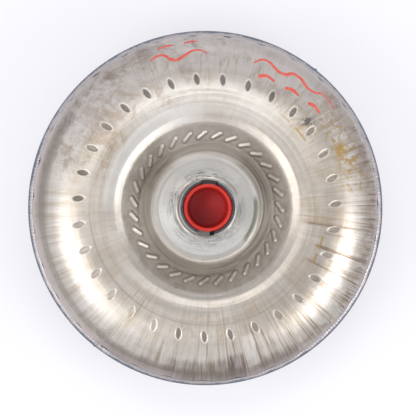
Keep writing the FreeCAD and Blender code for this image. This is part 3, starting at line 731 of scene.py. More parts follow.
def shell_steel():
    M = Mat("pressed_steel")
    fine_ring = M.noise(M.rings(900, 3.0), 1.0, 3.0, 0.6)
    wide_ring = M.noise(M.rings(140, 1.2), 1.0, 3.0, 0.55)
    cloud = M.noise(None, 16, 4.0, 0.55)
    blotch = M.noise(None, 45, 5.0, 0.6)
    grain = M.noise(None, 900, 3.0, 0.6)
    col = M.mix(M.step(cloud, 0.3, 0.7), (0.615, 0.555, 0.49), (0.765, 0.72, 0.655))
    fleck = M.noise(None, 150, 6.0, 0.75)
    col = M.mix(M.mul(M.step(fleck, 0.50, 0.66), 0.28), col, (0.40, 0.35, 0.30))
    crest_ring = M.noise(M.rings(210, 0.8), 1.0, 2.0, 0.5)
    crown = M.mul(M.step(M.r, 0.060, 0.064), M.sub(1.0, M.step(M.r, 0.086, 0.092)))
    col = M.mix(M.mul(M.mul(M.step(crest_ring, 0.48, 0.60), crown), 0.34), col, (0.44, 0.405, 0.365))
    beyond = M.step(M.r, 0.061, 0.072)
    wiped = M.noise(M.radial(26, 7), 1.0, 5.0, 0.68, 0.45)
    col = M.mix(M.mul(M.mul(M.step(wiped, 0.52, 0.66), beyond), 0.20), col, (0.88, 0.86, 0.83))
    col = M.mix(M.mul(M.mul(M.sub(1.0, M.step(wiped, 0.36, 0.47)), beyond), 0.30), col, (0.44, 0.375, 0.29))
    col = M.mix(M.mul(M.step(wide_ring, 0.52, 0.72), 0.35), col, (0.50, 0.47, 0.42))
    col = M.mix(M.mul(M.step(fine_ring, 0.5, 0.8), 0.22), col, (0.80, 0.78, 0.74))
    patina = M.mul(M.step(M.noise(None, 13, 6.0, 0.62, 0.6), 0.46, 0.62), beyond)
    col = M.mix(M.mul(patina, 0.20), col, (0.60, 0.52, 0.44))
    outer = M.step(M.r, 0.0845, 0.093)
    # long brown drips, thickest at the lower right
    streak = M.noise(M.radial(44, 9), 1.0, 5.0, 0.64, 0.35)
    streak2 = M.noise(M.radial(120, 8), 1.0, 4.0, 0.60, 0.25)
    low_right = M.sector(-32, 34, 26)
    low = M.sector(-84, 18, 20)
    left = M.sector(183, 22, 25)
    upper = M.mul(M.sector(100, 26, 20), 0.34)
    amount = M.math("MAXIMUM", M.math("MAXIMUM", low_right, M.mul(low, 0.9)), M.math("MAXIMUM", M.math("MAXIMUM", upper, M.mul(M.sector(18, 14, 20), 0.70)), 0.13))
    streak3 = M.noise(M.radial(15, 16), 1.0, 5.0, 0.65, 0.35)
    drip = M.mul(M.mul(M.step(streak, 0.52, 0.64), outer), amount, clamp=True)
    cluster = M.step(M.noise(None, 24, 4.0, 0.62, 0.6), 0.36, 0.52)
    drip = M.mul(drip, M.add(M.mul(cluster, 0.75), 0.35), clamp=True)
    drip2 = M.mul(M.mul(M.step(streak2, 0.53, 0.61), M.step(M.r, 0.096, 0.116)), M.mul(amount, M.add(M.mul(cluster, 1.0), 0.12)), clamp=True)
    col = M.mix(M.mul(drip, 0.58), col, (0.335, 0.245, 0.19))
    col = M.mix(M.mul(drip2, 0.86), col, (0.19, 0.130, 0.098))
    # a dark wedge by the rim at the bottom, with one sharp side
    c, s = M.unit()
    edge = M.math("MAXIMUM", M.mul(M.sector(-86, 11, 9), 0.85), M.sector(-78, 4, 6))
    sharp = M.sub(1.0, M.step(M.toward(14), -0.004, 0.004))
    wedge = M.mul(M.mul(M.mul(edge, M.step(M.add(M.r, M.mul(M.sub(streak, 0.5), 0.012)), 0.112, 0.118)), sharp), M.add(0.50, M.mul(M.step(M.add(streak2, M.mul(blotch, 0.5)), 0.55, 0.82), 0.50)))
    corner_dirt = M.mul(M.mul(M.sector(-78.5, 2.0, 2.5), sharp), M.mul(M.step(M.r, 0.1095, 0.1135), M.add(0.62, M.mul(M.step(streak2, 0.40, 0.58), 0.38))))
    wedge = M.math("MAXIMUM", wedge, corner_dirt)
    second = M.mul(M.mul(M.sector(-64, 3.5, 3.5), M.step(M.add(M.r, M.mul(M.sub(blotch, 0.5), 0.010)), 0.1165, 0.1205)), M.add(0.45, M.mul(M.step(streak2, 0.42, 0.58), 0.55)))
    col = M.mix(M.mul(M.mul(M.sector(-72.5, 2.0, 1.5), M.band(M.r, 0.112, 0.011, 0.004)), 0.55), col, (0.88, 0.85, 0.82))
    col = M.mix(M.mul(second, 0.72), col, (0.20, 0.15, 0.125))
    col = M.mix(M.mul(wedge, 0.94), col, (0.165, 0.12, 0.098))
    # separate long runs of dried oil, each from its own place on the dome
    for deg, start, wide, dark in ((-8.5, 0.072, 1.5, 0.7), (-12.0, 0.086, 1.0, 0.55), (-19.0, 0.083, 1.9, 0.75), (-27.0, 0.080, 1.2, 0.6), (-33.5, 0.092, 1.7, 0.7),
                                   (-41.0, 0.104, 1.3, 0.6), (-50.0, 0.100, 1.1, 0.55), (-66.5, 0.094, 1.3, 0.75), (-70.0, 0.090, 1.0, 0.7), (-79.0, 0.096, 1.1, 0.8),
                                   (-90.0, 0.098, 0.9, 0.6), (-108.0, 0.100, 1.0, 0.35), (9.0, 0.108, 1.2, 0.6), (16.0, 0.112, 1.5, 0.7), (22.0, 0.106, 1.1, 0.5),
                                   (84.0, 0.093, 0.5, 0.55), (80.0, 0.095, 0.4, 0.55), (118.0, 0.094, 0.8, 0.45), (133.0, 0.088, 0.9, 0.40), (150.0, 0.096, 0.8, 0.35)):
        across = M.mul(M.math("ABSOLUTE", M.add(M.toward(deg + 90), M.mul(M.sub(streak3, 0.5), 0.045))), M.r)
        run = M.mul(M.sub(1.0, M.step(across, wide * 0.0003, wide * 0.0011)), M.mul(M.step(M.r, start, start + 0.006), M.step(M.toward(deg), 0.5, 0.6)))
        run = M.mul(run, M.add(0.25, M.mul(M.step(streak2, 0.38, 0.56), 0.75)))
        col = M.mix(M.mul(run, min(1.0, dark * 1.15)), col, (0.245, 0.160, 0.108))
    rill = M.noise(M.radial(42, 14), 1.0, 5.0, 0.68, 0.5)
    below = M.add(0.22, M.mul(M.step(M.toward(-65), -0.5, 0.5), 0.78))
    rills = M.mul(M.mul(M.step(rill, 0.53, 0.63), M.mul(M.step(M.r, 0.063, 0.074), M.sub(1.0, M.step(M.r, 0.104, 0.116)))), M.mul(below, M.step(M.noise(None, 30, 4.0, 0.6), 0.40, 0.56)))
    col = M.mix(M.mul(rills, 0.66), col, (0.48, 0.355, 0.225))
    crown_tan = M.mul(M.step(M.noise(None, 55, 6.0, 0.74, 0.8), 0.50, 0.60), M.mul(M.band(M.r, 0.086, 0.012, 0.010), below))
    col = M.mix(M.mul(crown_tan, 0.34), col, (0.53, 0.42, 0.29))
    # painted highlight: a whiter band across the outer dome, broken by the wiped streaks
    painted_highlight_band = M.mul(M.band(M.r, 0.1135, 0.0055, 0.007), M.step(wiped, 0.40, 0.58))
    col = M.mix(M.mul(painted_highlight_band, 0.40), col, (0.93, 0.90, 0.87))
    # brown staining over the upper left
    tan = M.mul(M.step(M.noise(None, 56, 6.0, 0.76, 0.6), 0.47, 0.64), M.mul(M.sector(133, 26, 16), M.band(M.r, 0.102, 0.018, 0.012)))
    col = M.mix(M.mul(tan, 0.42), col, (0.37, 0.29, 0.20))
    tan2 = M.mul(M.step(M.noise(None, 75, 6.0, 0.76, 0.6), 0.48, 0.64), M.mul(M.sector(120, 34, 16), M.step(M.r, 0.112, 0.120)))
    col = M.mix(M.mul(tan2, 0.42), col, (0.30, 0.23, 0.19))
    # ochre rust freckles
    speck = M.step(M.noise(None, 210, 5.0, 0.72), 0.48, 0.60)
    och = M.mul(speck, M.mul(M.sector(24, 9, 14), M.band(M.r, 0.112, 0.005, 0.010)))
    och2 = M.mul(speck, M.mul(M.sector(47, 6, 12), M.band(M.r, 0.097, 0.006, 0.009)))
    och3 = M.mul(M.step(blotch, 0.52, 0.66), M.mul(M.sector(60, 60, 50), M.band(M.r, 0.101, 0.012, 0.018)))
    col = M.mix(M.mul(M.math("MAXIMUM", och, M.mul(och2, 0.8)), 0.85), col, (0.50, 0.31, 0.10))
    col = M.mix(M.mul(och3, 0.30), col, (0.42, 0.33, 0.19))
    dx2, dy2 = at(341, 151, 90)
    patch = M.math("SQRT", M.add(M.math("POWER", M.sub(M.x, dx2 * MM), 2.0), M.math("POWER", M.mul(M.sub(M.y, dy2 * MM), 0.8), 2.0)))
    patch = M.mul(M.sub(1.0, M.step(patch, 0.0025, 0.0065)), M.step(fleck, 0.36, 0.50))
    col = M.mix(M.mul(patch, 0.9), col, (0.56, 0.36, 0.10))
    yellow = M.mul(M.step(streak3, 0.48, 0.66), M.step(M.r, 0.066, 0.090))
    col = M.mix(M.mul(yellow, 0.26), col, (0.47, 0.385, 0.27))
    soil = M.mul(M.step(M.noise(M.radial(11, 30), 1.0, 6.0, 0.7, 0.5), 0.50, 0.64), M.step(M.r, 0.116, 0.126))
    where = M.math("MAXIMUM", M.math("MAXIMUM", M.sector(-5, 40, 20), M.sector(-95, 30, 20)), M.math("MAXIMUM", M.sector(142, 14, 14), M.mul(M.sector(40, 16, 12), 0.7)))
    col = M.mix(M.mul(M.mul(soil, M.add(where, 0.15)), 0.60, clamp=True), col, (0.29, 0.22, 0.18))
    stain = M.mul(M.step(M.noise(None, 52, 6.0, 0.70, 0.5), 0.50, 0.60), M.mul(M.step(M.r, 0.108, 0.122), where))
    col = M.mix(M.mul(stain, 0.36), col, (0.36, 0.27, 0.20))
    # on the left the skirt shows as a pale band behind a soft dark line; the dark line is painted shade
    side = M.mul(M.sector(206, 56, 14), M.sub(1.0, wedge))
    col = M.mix(M.mul(M.mul(M.band(M.r, 0.1236, 0.0012, 0.0022), side), 0.42), col, (0.34, 0.30, 0.275))
    col = M.mix(M.mul(M.mul(M.step(M.r, 0.1256, 0.1264), side), M.add(0.34, M.mul(M.noise(M.radial(24, 10), 1.0, 5.0, 0.7), 0.5)), clamp=True), col, (0.70, 0.60, 0.56))
    rust = M.mul(M.mul(M.step(M.noise(None, 120, 5.0, 0.72, 0.4), 0.55, 0.64), M.step(M.r, 0.122, 0.126)), M.sector(182, 16, 16))
    col = M.mix(M.mul(rust, 0.55), col, (0.45, 0.26, 0.15))
    # a brown line at the crest's edge, and broken ochre ticks on it
    line = M.band(M.r, 0.0872, 0.0001, 0.0006)
    ticks = M.mul(M.band(M.r, 0.0884, 0.0004, 0.0007), M.math("MAXIMUM", M.sector(38, 3.0, 1.5), M.math("MAXIMUM", M.sector(49, 2.2, 1.5), M.math("MAXIMUM", M.sector(-17, 2.6, 1.2), M.sector(-25, 2.0, 1.0)))))
    low_half = M.step(M.toward(-100), -0.2, 0.4)
    col = M.mix(M.mul(line, M.mul(M.add(low_half, 0.2), 0.26), clamp=True), col, (0.34, 0.25, 0.16))
    col = M.mix(M.mul(ticks, 0.8), col, (0.50, 0.33, 0.12))
    # the matt outer dome at the top, its colour darkened as painted shade, with smudges and hairlines of dirt; and
    # painted shade in the pressings
    dull_shaded_top = M.mul(M.sector(93, 40, 26), M.step(M.r, 0.0865, 0.0925))
    col = M.mix(M.mul(dull_shaded_top, M.add(M.mul(blotch, 0.45), 0.40)), col, (0.60, 0.555, 0.53))
    smudge = M.mul(M.step(M.noise(None, 30, 6.0, 0.72, 0.4), 0.50, 0.62), dull_shaded_top)
    col = M.mix(M.mul(smudge, 0.40), col, (0.30, 0.26, 0.235))
    hair = M.mul(M.step(M.noise(M.radial(150, 7), 1.0, 2.0, 0.5), 0.60, 0.70), M.mul(dull_shaded_top, M.step(M.r, 0.094, 0.104)))
    col = M.mix(M.mul(hair, 0.5), col, (0.20, 0.175, 0.155))
    rim = M.step(M.add(M.r, M.mul(M.sub(blotch, 0.5), 0.004)), 0.1272, 0.1298)
    rim = M.mul(rim, M.sub(1.0, M.mul(wedge, 0.95)))
    col = M.mix(M.mul(rim, M.add(0.34, M.mul(fleck, 0.55))), col, (0.78, 0.715, 0.735))
    # grey smear beside one dimple, as from a knock
    dx, dy = at(306, 122, 95)
    dist = M.math("SQRT", M.add(M.math("POWER", M.mul(M.sub(M.x, dx * MM), 0.75), 2.0), M.math("POWER", M.mul(M.sub(M.y, dy * MM), 1.6), 2.0)))
    smear = M.mul(M.sub(1.0, M.step(dist, 0.003, 0.0075)), M.step(M.noise(None, 240, 4.0, 0.65), 0.42, 0.56))
    col = M.mix(M.mul(smear, 0.85), col, (0.13, 0.12, 0.12))
    # the conical wall is darker and browner; scuffs round the hub
    wall = M.mul(M.step(M.r, 0.0395, 0.043), M.sub(1.0, M.step(M.r, 0.054, 0.067)))
    col = M.mix(M.mul(wall, 0.18), col, (0.46, 0.43, 0.395))
    mottle = M.mul(M.step(M.noise(None, 95, 6.0, 0.74, 0.5), 0.46, 0.62), M.band(M.r, 0.0575, 0.006, 0.006))
    col = M.mix(M.mul(mottle, 0.34), col, (0.34, 0.30, 0.25))
    # painted sheen: lighter patches on the wall towards the upper left
    painted_wall_sheen = M.mul(M.step(M.noise(None, 130, 5.0, 0.70, 0.3), 0.50, 0.60), M.mul(M.band(M.r, 0.062, 0.006, 0.005), M.sector(130, 60, 40)))
    col = M.mix(M.mul(painted_wall_sheen, 0.22), col, (0.86, 0.84, 0.80))
    # turned rings down the wall, and the flat land as bright as the hub it meets
    turned = M.noise(M.rings(420, 1.0), 1.0, 2.0, 0.55)
    col = M.mix(M.mul(M.mul(M.step(turned, 0.46, 0.62), M.band(M.r, 0.0455, 0.005, 0.004)), 0.50), col, (0.22, 0.20, 0.18))
    land = M.sub(1.0, M.step(M.r, 0.0368, 0.0408))
    col = M.mix(M.mul(land, 0.9), col, M.mix(cloud, (0.53, 0.515, 0.49), (0.66, 0.64, 0.61)))
    gro = M.mul(M.band(M.r, 0.0376, 0.0010, 0.0008), M.step(M.toward(-14), 0.86, 0.94))
    col = M.mix(M.mul(gro, 0.75), col, (0.185, 0.20, 0.135))
    # painted light and shade that changes from one side of the pressing to the other, in bands by ring
    cloudy = M.add(0.70, M.mul(M.step(cloud, 0.35, 0.65), 0.30))
    for deg, half, soft, r0, h, fall, amount, target in (
            (90, 22, 20, 0.053, 0.012, 0.006, 0.52, (0.93, 0.89, 0.84)),
            (136, 28, 24, 0.0715, 0.004, 0.004, 0.75, (1.0, 0.98, 0.94)),
            (-90, 52, 26, 0.0715, 0.005, 0.005, 0.42, (0.42, 0.40, 0.385)),
            (90, 28, 22, 0.083, 0.008, 0.006, 0.48, (0.97, 0.94, 0.90)),
            (105, 46, 22, 0.113, 0.006, 0.006, 0.38, (0.88, 0.83, 0.80)),
            (78, 20, 18, 0.127, 0.008, 0.004, 0.46, (0.88, 0.83, 0.81)),
            (120, 22, 18, 0.127, 0.008, 0.004, 0.24, (0.86, 0.80, 0.78)),
            (12, 16, 14, 0.1235, 0.0035, 0.003, 0.30, (0.32, 0.265, 0.225)),
            (166, 14, 12, 0.1235, 0.003, 0.003, 0.46, (0.30, 0.26, 0.235)),
            (-92, 28, 14, 0.1300, 0.0050, 0.003, 0.58, (0.30, 0.25, 0.235)),
            (-32, 26, 16, 0.1320, 0.0030, 0.002, 0.36, (0.42, 0.37, 0.35))):
        col = M.mix(M.mul(M.mul(M.mul(M.sector(deg, half, soft), M.band(M.r, r0, h, fall)), cloudy), amount), col, target)
    col = M.mix(M.mul(tan, 0.40), col, (0.37, 0.275, 0.185))
    col = M.mix(M.mul(tan2, 0.46), col, (0.27, 0.205, 0.17))
    tan3 = M.mul(M.step(M.noise(M.radial(20, 34), 1.0, 6.0, 0.72, 0.9), 0.51, 0.59), M.mul(M.sector(62, 26, 14), M.band(M.r, 0.104, 0.010, 0.008)))
    col = M.mix(M.mul(tan3, 0.36), col, (0.40, 0.315, 0.20))
    pressed, foot = M.attr("pressed"), M.attr("foot")
    # painted shade in the pressed dimples: darker at the top, left and bottom, lighter at the lower left
    pit_shade = M.add(M.add(0.38, M.mul(M.sector(85, 36, 22), 0.25)), M.add(M.mul(M.sector(173, 8, 6), 0.44), M.mul(M.sector(268, 16, 14), 0.38)))
    pit_shade = M.sub(pit_shade, M.mul(M.sector(222, 24, 14), 0.30))
    col = M.mix(M.mul(M.mul(pressed, pit_shade), M.add(0.72, M.mul(fleck, 0.5)), clamp=True), col, (0.155, 0.135, 0.12))
    # painted shadow round the foot of each raised tab
    col = M.mix(M.mul(foot, 0.44), col, (0.17, 0.145, 0.12))
    # painted highlight on the dimples' raised lips
    painted_lip_highlight = M.mul(M.attr("lip"), M.add(M.mul(M.step(M.noise(None, 160, 3.0, 0.6), 0.40, 0.58), 0.5), 0.30))
    col = M.mix(painted_lip_highlight, col, (0.94, 0.93, 0.91))
    rough = M.add(0.31, M.mul(M.noise(None, 60, 4.0, 0.6), 0.16))
    rough = M.add(rough, M.mul(wall, 0.12))
    rough = M.add(rough, M.mul(dull_shaded_top, 0.16))
    rough = M.add(rough, M.mul(pressed, 0.20))
    rough = M.add(rough, M.mul(M.math("MAXIMUM", drip, drip2), 0.12))
    rough = M.add(rough, M.mul(rim, 0.08))
    M.bump((fine_ring, 0.00003), (wide_ring, 0.00012), (M.noise(M.radial(70, 14), 1.0, 3.0, 0.6, 0.3), 0.00004), (M.mul(crest_ring, crown), 0.00035), (M.mul(wiped, beyond), 0.00010), (grain, 0.000012), (blotch, 0.00010), (cloud, 0.0004))
    tg = M.t.nodes.new("ShaderNodeTangent")
    tg.direction_type, tg.axis = "RADIAL", "Z"
    M.t.links.new(tg.outputs[0], M.b.inputs["Tangent"])
    return M.done(col, rough, 1.0, Anisotropic=0.45)


def cover_steel():
    M = Mat("drawn_steel")
    draw = M.noise(M.radial(420, 3), 1.0, 3.0, 0.6)
    ring = M.noise(M.rings(700, 2.0), 1.0, 3.0, 0.6)
    wide = M.noise(M.rings(90, 1.0), 1.0, 3.0, 0.5)
    cloud = M.noise(None, 14, 5.0, 0.6)
    col = M.mix(M.step(cloud, 0.3, 0.7), (0.235, 0.23, 0.225), (0.40, 0.395, 0.38))
    skirt = M.mul(M.step(M.r, 0.128, 0.1335), M.step(M.z, 0.020, 0.028))
    col = M.mix(M.mul(M.mul(M.step(draw, 0.45, 0.75), skirt), 0.30), col, (0.52, 0.51, 0.50))
    col = M.mix(M.mul(M.step(wide, 0.52, 0.70), 0.35), col, (0.17, 0.165, 0.165))
    # heat tint below the closing weld: blue, then straw
    h = M.add(M.z, M.mul(M.sub(cloud, 0.5), 0.004))
    blue = M.mul(M.step(h, 0.0520, 0.0570), skirt)
    straw = M.mul(M.band(h, 0.0505, 0.0012, 0.0028), skirt)
    col = M.mix(M.mul(straw, 0.5), col, (0.50, 0.38, 0.20))
    col = M.mix(M.mul(blue, 0.62), col, (0.17, 0.20, 0.28))
    # and round each set block's weld, on the face
    face = M.sub(1.0, M.step(M.z, 0.0146, 0.0165))
    tint = None
    for k in range(6):
        a = 2 * math.pi * k / 6
        d = M.math("SQRT", M.add(M.math("POWER", M.sub(M.x, 0.112 * math.cos(a)), 2.0), M.math("POWER", M.sub(M.y, 0.112 * math.sin(a)), 2.0)))
        tint = d if tint is None else M.math("MINIMUM", tint, d)
    tint = M.add(tint, M.mul(M.sub(cloud, 0.5), 0.005))
    col = M.mix(M.mul(M.mul(M.band(tint, 0.0235, 0.001, 0.0025), face), 0.55), col, (0.48, 0.36, 0.20))
    col = M.mix(M.mul(M.mul(M.sub(1.0, M.step(tint, 0.019, 0.0225)), face), 0.65), col, (0.15, 0.18, 0.26))
    # dried oil runs and handling marks
    run = M.mul(M.step(M.noise(M.radial(26, 5), 1.0, 4.0, 0.6, 0.3), 0.56, 0.70), skirt)
    col = M.mix(M.mul(run, 0.42), col, (0.26, 0.21, 0.16))
    spot = M.step(M.noise(None, 130, 5.0, 0.7), 0.63, 0.72)
    col = M.mix(M.mul(spot, 0.45), col, (0.28, 0.20, 0.12))
    rough = M.add(0.30, M.mul(M.noise(None, 50, 4.0, 0.6), 0.20))
    rough = M.add(rough, M.mul(M.math("MAXIMUM", run, spot), 0.12))
    M.bump((M.mul(draw, skirt), 0.00005), (M.mul(ring, M.sub(1.0, skirt)), 0.00005), (M.noise(None, 500, 3.0, 0.6), 0.00002), (cloud, 0.0002))
    tg = M.t.nodes.new("ShaderNodeTangent")
    tg.direction_type, tg.axis = "RADIAL", "Z"
    M.t.links.new(tg.outputs[0], M.b.inputs["Tangent"])
    return M.done(col, rough, 1.0, Anisotropic=0.3)


def weld_metal(name="weld_metal"):
    M = Mat(name)
    n = M.noise(None, 300, 4.0, 0.6)
    c2 = M.noise(None, 60, 4.0, 0.6)
    col = M.mix(n, (0.13, 0.16, 0.22), (0.33, 0.37, 0.45))
    col = M.mix(M.step(c2, 0.55, 0.75), col, (0.30, 0.24, 0.19))
    uneven = M.add(M.r, M.mul(M.sub(M.noise(M.radial(13, 3), 1.0, 4.0, 0.65), 0.5), 0.0052))
    lit = M.mul(M.sub(1.0, M.step(uneven, 0.1330, 0.1337)), M.mul(M.step(M.r, 0.128, 0.129), M.step(M.z, 0.05, 0.055)))
    col = M.mix(M.mul(lit, M.add(0.50, M.mul(n, 0.6)), clamp=True), col, (0.66, 0.61, 0.61))
    M.bump((n, 0.00012), (M.noise(None, 1500, 2.0, 0.5), 0.00003))
    return M.done(col, M.add(0.34, M.mul(c2, 0.25)), 1.0)


def hub_steel():
    M = Mat("ground_steel")
    ring = M.noise(M.rings(1400, 2.0), 1.0, 3.0, 0.65)
    wide = M.noise(M.rings(240, 1.5), 1.0, 3.0, 0.55)
    cloud = M.noise(None, 40, 4.0, 0.6)
    col = M.mix(cloud, (0.62, 0.60, 0.56), (0.78, 0.755, 0.71))
    shade = M.mul(M.sub(1.0, M.step(M.z, 0.079, 0.084)), M.step(M.add(M.mul(M.x, 0.35), M.y), 0.004, 0.034))
    col = M.mix(M.mul(shade, 0.22), col, (0.44, 0.43, 0.41))
    flange = M.mul(M.sub(1.0, M.step(M.z, 0.079, 0.084)), M.step(M.r, 0.0225, 0.025))
    # painted light on the flange's lower side, and painted shade on its right
    col = M.mix(M.mul(M.mul(flange, M.sector(250, 62, 34)), 0.62), col, (0.97, 0.95, 0.92))
    col = M.mix(M.mul(M.mul(flange, M.sector(12, 16, 18)), 0.30), col, (0.42, 0.41, 0.39))
    # the tube's end is dark; the flange is turned
    endf = M.mul(M.step(M.z, 0.1195, 0.1199), M.band(M.r, 0.0192, 0.0007, 0.0004))
    tube = M.mul(M.step(M.z, 0.079, 0.084), M.sub(1.0, M.step(M.r, 0.0225, 0.0235)))
    col = M.mix(M.mul(tube, 0.45), col, (0.40, 0.42, 0.44))
    col = M.mix(M.mul(endf, M.add(0.72, M.mul(wide, 0.5)), clamp=True), col, (0.065, 0.085, 0.105))
    scuff = M.mul(M.step(M.noise(M.rings(2600, 3.0), 1.0, 5.0, 0.72, 0.6), 0.48, 0.55), M.mul(M.step(M.r, 0.0215, 0.0228), M.sub(1.0, M.step(M.r, 0.0265, 0.0315))))
    col = M.mix(M.mul(scuff, M.mul(M.step(M.noise(None, 95, 4.0, 0.6), 0.34, 0.52), M.add(0.62, M.mul(M.sector(115, 50, 30), 0.34)))), col, (0.07, 0.07, 0.075))
    soot = M.mul(M.mul(M.step(cloud, 0.42, 0.62), M.band(M.r, 0.0228, 0.0010, 0.0032)), M.sub(1.0, M.step(M.z, 0.079, 0.084)))
    col = M.mix(M.mul(soot, 0.42), col, (0.20, 0.19, 0.18))
    col = M.mix(M.mul(M.step(wide, 0.50, 0.66), 0.30), col, (0.50, 0.48, 0.45))
    sand = M.noise(None, 420, 5.0, 0.75)
    col = M.mix(M.mul(M.step(sand, 0.50, 0.64), 0.22), col, (0.42, 0.41, 0.39))
    # painted shade inside the drive slots, darker in the upper slot
    slot_shade = M.mul(M.band(M.z, 0.1135, 0.0060, 0.001), M.band(M.add(M.mul(M.x, math.cos(RAD(SLOT_TURN))), M.mul(M.y, math.sin(RAD(SLOT_TURN)))), 0.0, 0.0062, 0.0004))
    col = M.mix(M.mul(slot_shade, M.add(0.55, M.mul(M.step(M.y, -0.002, 0.002), 0.38))), col, (0.055, 0.055, 0.06))
    along = M.add(M.mul(M.x, math.cos(RAD(SLOT_TURN))), M.mul(M.y, math.sin(RAD(SLOT_TURN))))
    # painted shadow: a near-black gap in the lower slot
    notch_shadow = M.mul(M.mul(M.band(M.z, 0.1135, 0.0060, 0.001), M.sub(1.0, M.step(M.y, -0.002, 0.0))), M.band(along, 0.0045, 0.0014, 0.0003))
    col = M.mix(M.mul(notch_shadow, 0.95), col, (0.012, 0.012, 0.014))
    M.bump((ring, 0.00002), (wide, 0.00005), (M.mul(scuff, 1.0), 0.00002))
    tg = M.t.nodes.new("ShaderNodeTangent")
    tg.direction_type, tg.axis = "RADIAL", "Z"
    M.t.links.new(tg.outputs[0], M.b.inputs["Tangent"])
    return M.done(col, M.add(0.24, M.mul(cloud, 0.16)), 1.0, Anisotropic=0.4)


def plain_steel(name, dark, light, rough, scale=60, bumpy=0.00004, metallic=1.0):
    M = Mat(name)
    n = M.noise(None, scale, 4.0, 0.6)
    f = M.noise(M.rings(800, 2.0), 1.0, 3.0, 0.6)
    col = M.mix(n, dark, light)
    col = M.mix(M.mul(M.step(f, 0.5, 0.8), 0.2), col, tuple(min(1, c * 1.25) for c in light))
    M.bump((f, bumpy * 0.6), (M.noise(None, scale * 12, 3.0, 0.6), bumpy))
    return M.done(col, M.add(rough, M.mul(n, 0.14)), metallic)


def red_plastic():
    M = Mat("red_plastic")
    n = M.noise(None, 90, 4.0, 0.55)
    col = M.mix(n, (0.52, 0.022, 0.014), (0.66, 0.040, 0.024))
    inside = M.mul(M.sub(1.0, M.step(M.r, 0.0140, 0.0149)), M.sub(1.0, M.step(M.z, 0.117, 0.120)))
    # painted shade and light in the dish: darker to the lower left, lighter to the upper right, with a painted
    # highlight spot
    shaded_dish = M.mix(M.step(M.add(M.mul(M.x, 0.8), M.mul(M.y, 0.5)), -0.012, 0.012), (0.21, 0.006, 0.009), (0.44, 0.020, 0.022))
    spot = M.math("SQRT", M.add(M.math("POWER", M.sub(M.x, 0.0046), 2.0), M.math("POWER", M.sub(M.y, 0.0048), 2.0)))
    shaded_dish = M.mix(M.mul(M.sub(1.0, M.step(spot, 0.0, 0.0085)), 0.30), shaded_dish, (0.62, 0.06, 0.06))
    # painted shade on the plug's left side
    col = M.mix(M.mul(M.step(M.add(M.mul(M.x, -0.9), M.mul(M.y, -0.2)), -0.002, 0.018), 0.40), col, (0.36, 0.014, 0.014))
    col = M.mix(M.mul(inside, 0.92), col, shaded_dish)
    dust = M.step(M.noise(None, 900, 4.0, 0.7), 0.60, 0.72)
    col = M.mix(M.mul(dust, 0.10), col, (0.75, 0.30, 0.26))
    M.bump((M.noise(None, 700, 3.0, 0.6), 0.00002), (M.noise(M.rings(600, 1.0), 1.0, 2.0, 0.5), 0.00002))
    return M.done(col, M.add(M.add(0.22, M.mul(n, 0.12)), M.mul(inside, 0.30)), 0.0, IOR=1.40)


def marker_paint():
    M = Mat("marker_paint")
    n = M.noise(None, 420, 4.0, 0.6)
    col = M.mix(M.step(n, 0.3, 0.7), (0.72, 0.085, 0.06), (0.82, 0.17, 0.12))
    col = M.mix(M.step(M.noise(None, 1400, 3.0, 0.7), 0.60, 0.70), col, (0.62, 0.33, 0.28))
    M.bump((n, 0.00003),)
    return M.done(col, 0.55, 0.0)


def paper():
    M = Mat("friction_paper")
    n = M.noise(None, 900, 5.0, 0.7)
    M.bump((n, 0.00010),)
    return M.done(M.mix(n, (0.06, 0.035, 0.02), (0.14, 0.085, 0.05)), 0.85, 0.0)


def resin():
    M = Mat("seal_resin")
    n = M.noise(None, 500, 3.0, 0.6)
    M.bump((n, 0.00004),)
    return M.done(M.mix(n, (0.012, 0.012, 0.013), (0.03, 0.03, 0.032)), 0.42, 0.0)


mats = {
    "shell_steel": shell_steel(), "cover_steel": cover_steel(), "weld_steel": weld_metal(), "hub_steel": hub_steel(),
    "block_steel": plain_steel("machined_steel", (0.25, 0.247, 0.243), (0.38, 0.375, 0.368), 0.26),
    "blade_steel": plain_steel("sheet_steel", (0.46, 0.46, 0.465), (0.62, 0.62, 0.62), 0.34),
    "hard_steel": plain_steel("hardened_steel", (0.58, 0.58, 0.59), (0.74, 0.74, 0.75), 0.14),
    "spring_steel": plain_steel("spring_steel", (0.10, 0.105, 0.125), (0.22, 0.23, 0.27), 0.30),
    "stator_alloy": plain_steel("cast_alloy", (0.60, 0.61, 0.62), (0.76, 0.77, 0.78), 0.42, 200, 0.00010),
    "lining_paper": paper(), "seal_resin": resin(),
    "cage_steel": plain_steel("cage_steel", (0.44, 0.38, 0.25), (0.60, 0.54, 0.40), 0.26),
    "plug_red": red_plastic(),
}
for sp in frame["record"]["subparts"]:
    ob = nodes[sp["node"]]
    ob.data.materials.clear()
    ob.data.materials.append(mats[sp["material_slot"]])

for ob, node, mat, body in (
    (shell, "impeller_shell", "shell_steel", "housing"), (weld, "closing_weld", "weld_steel", "housing"),
    (cover, "front_cover", "cover_steel", "housing"), (hub, "pump_hub", "hub_steel", "housing"),
    (plug, "shipping_plug", "plug_red", "plug"), (pilot, "pilot_boss", "hub_steel", "housing"),
    (pw, "pilot_weld", "weld_steel", "housing"), (blocks, "set_blocks", "block_steel", "housing"),
    (block_welds, "set_block_welds", "weld_steel", "housing"),
):
    ob.data.materials.clear()
    ob.data.materials.append(mats[mat])
    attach(ob, body)
    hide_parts(node)
soften(hub, 0.22)
paint.data.materials.append(marker_paint())
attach(paint, "housing")

# ---------------------------------------------------------------- floor, lights and camera
sc = bpy.context.scene
sc.view_settings.view_transform = "Standard"
sc.view_settings.look = "None"

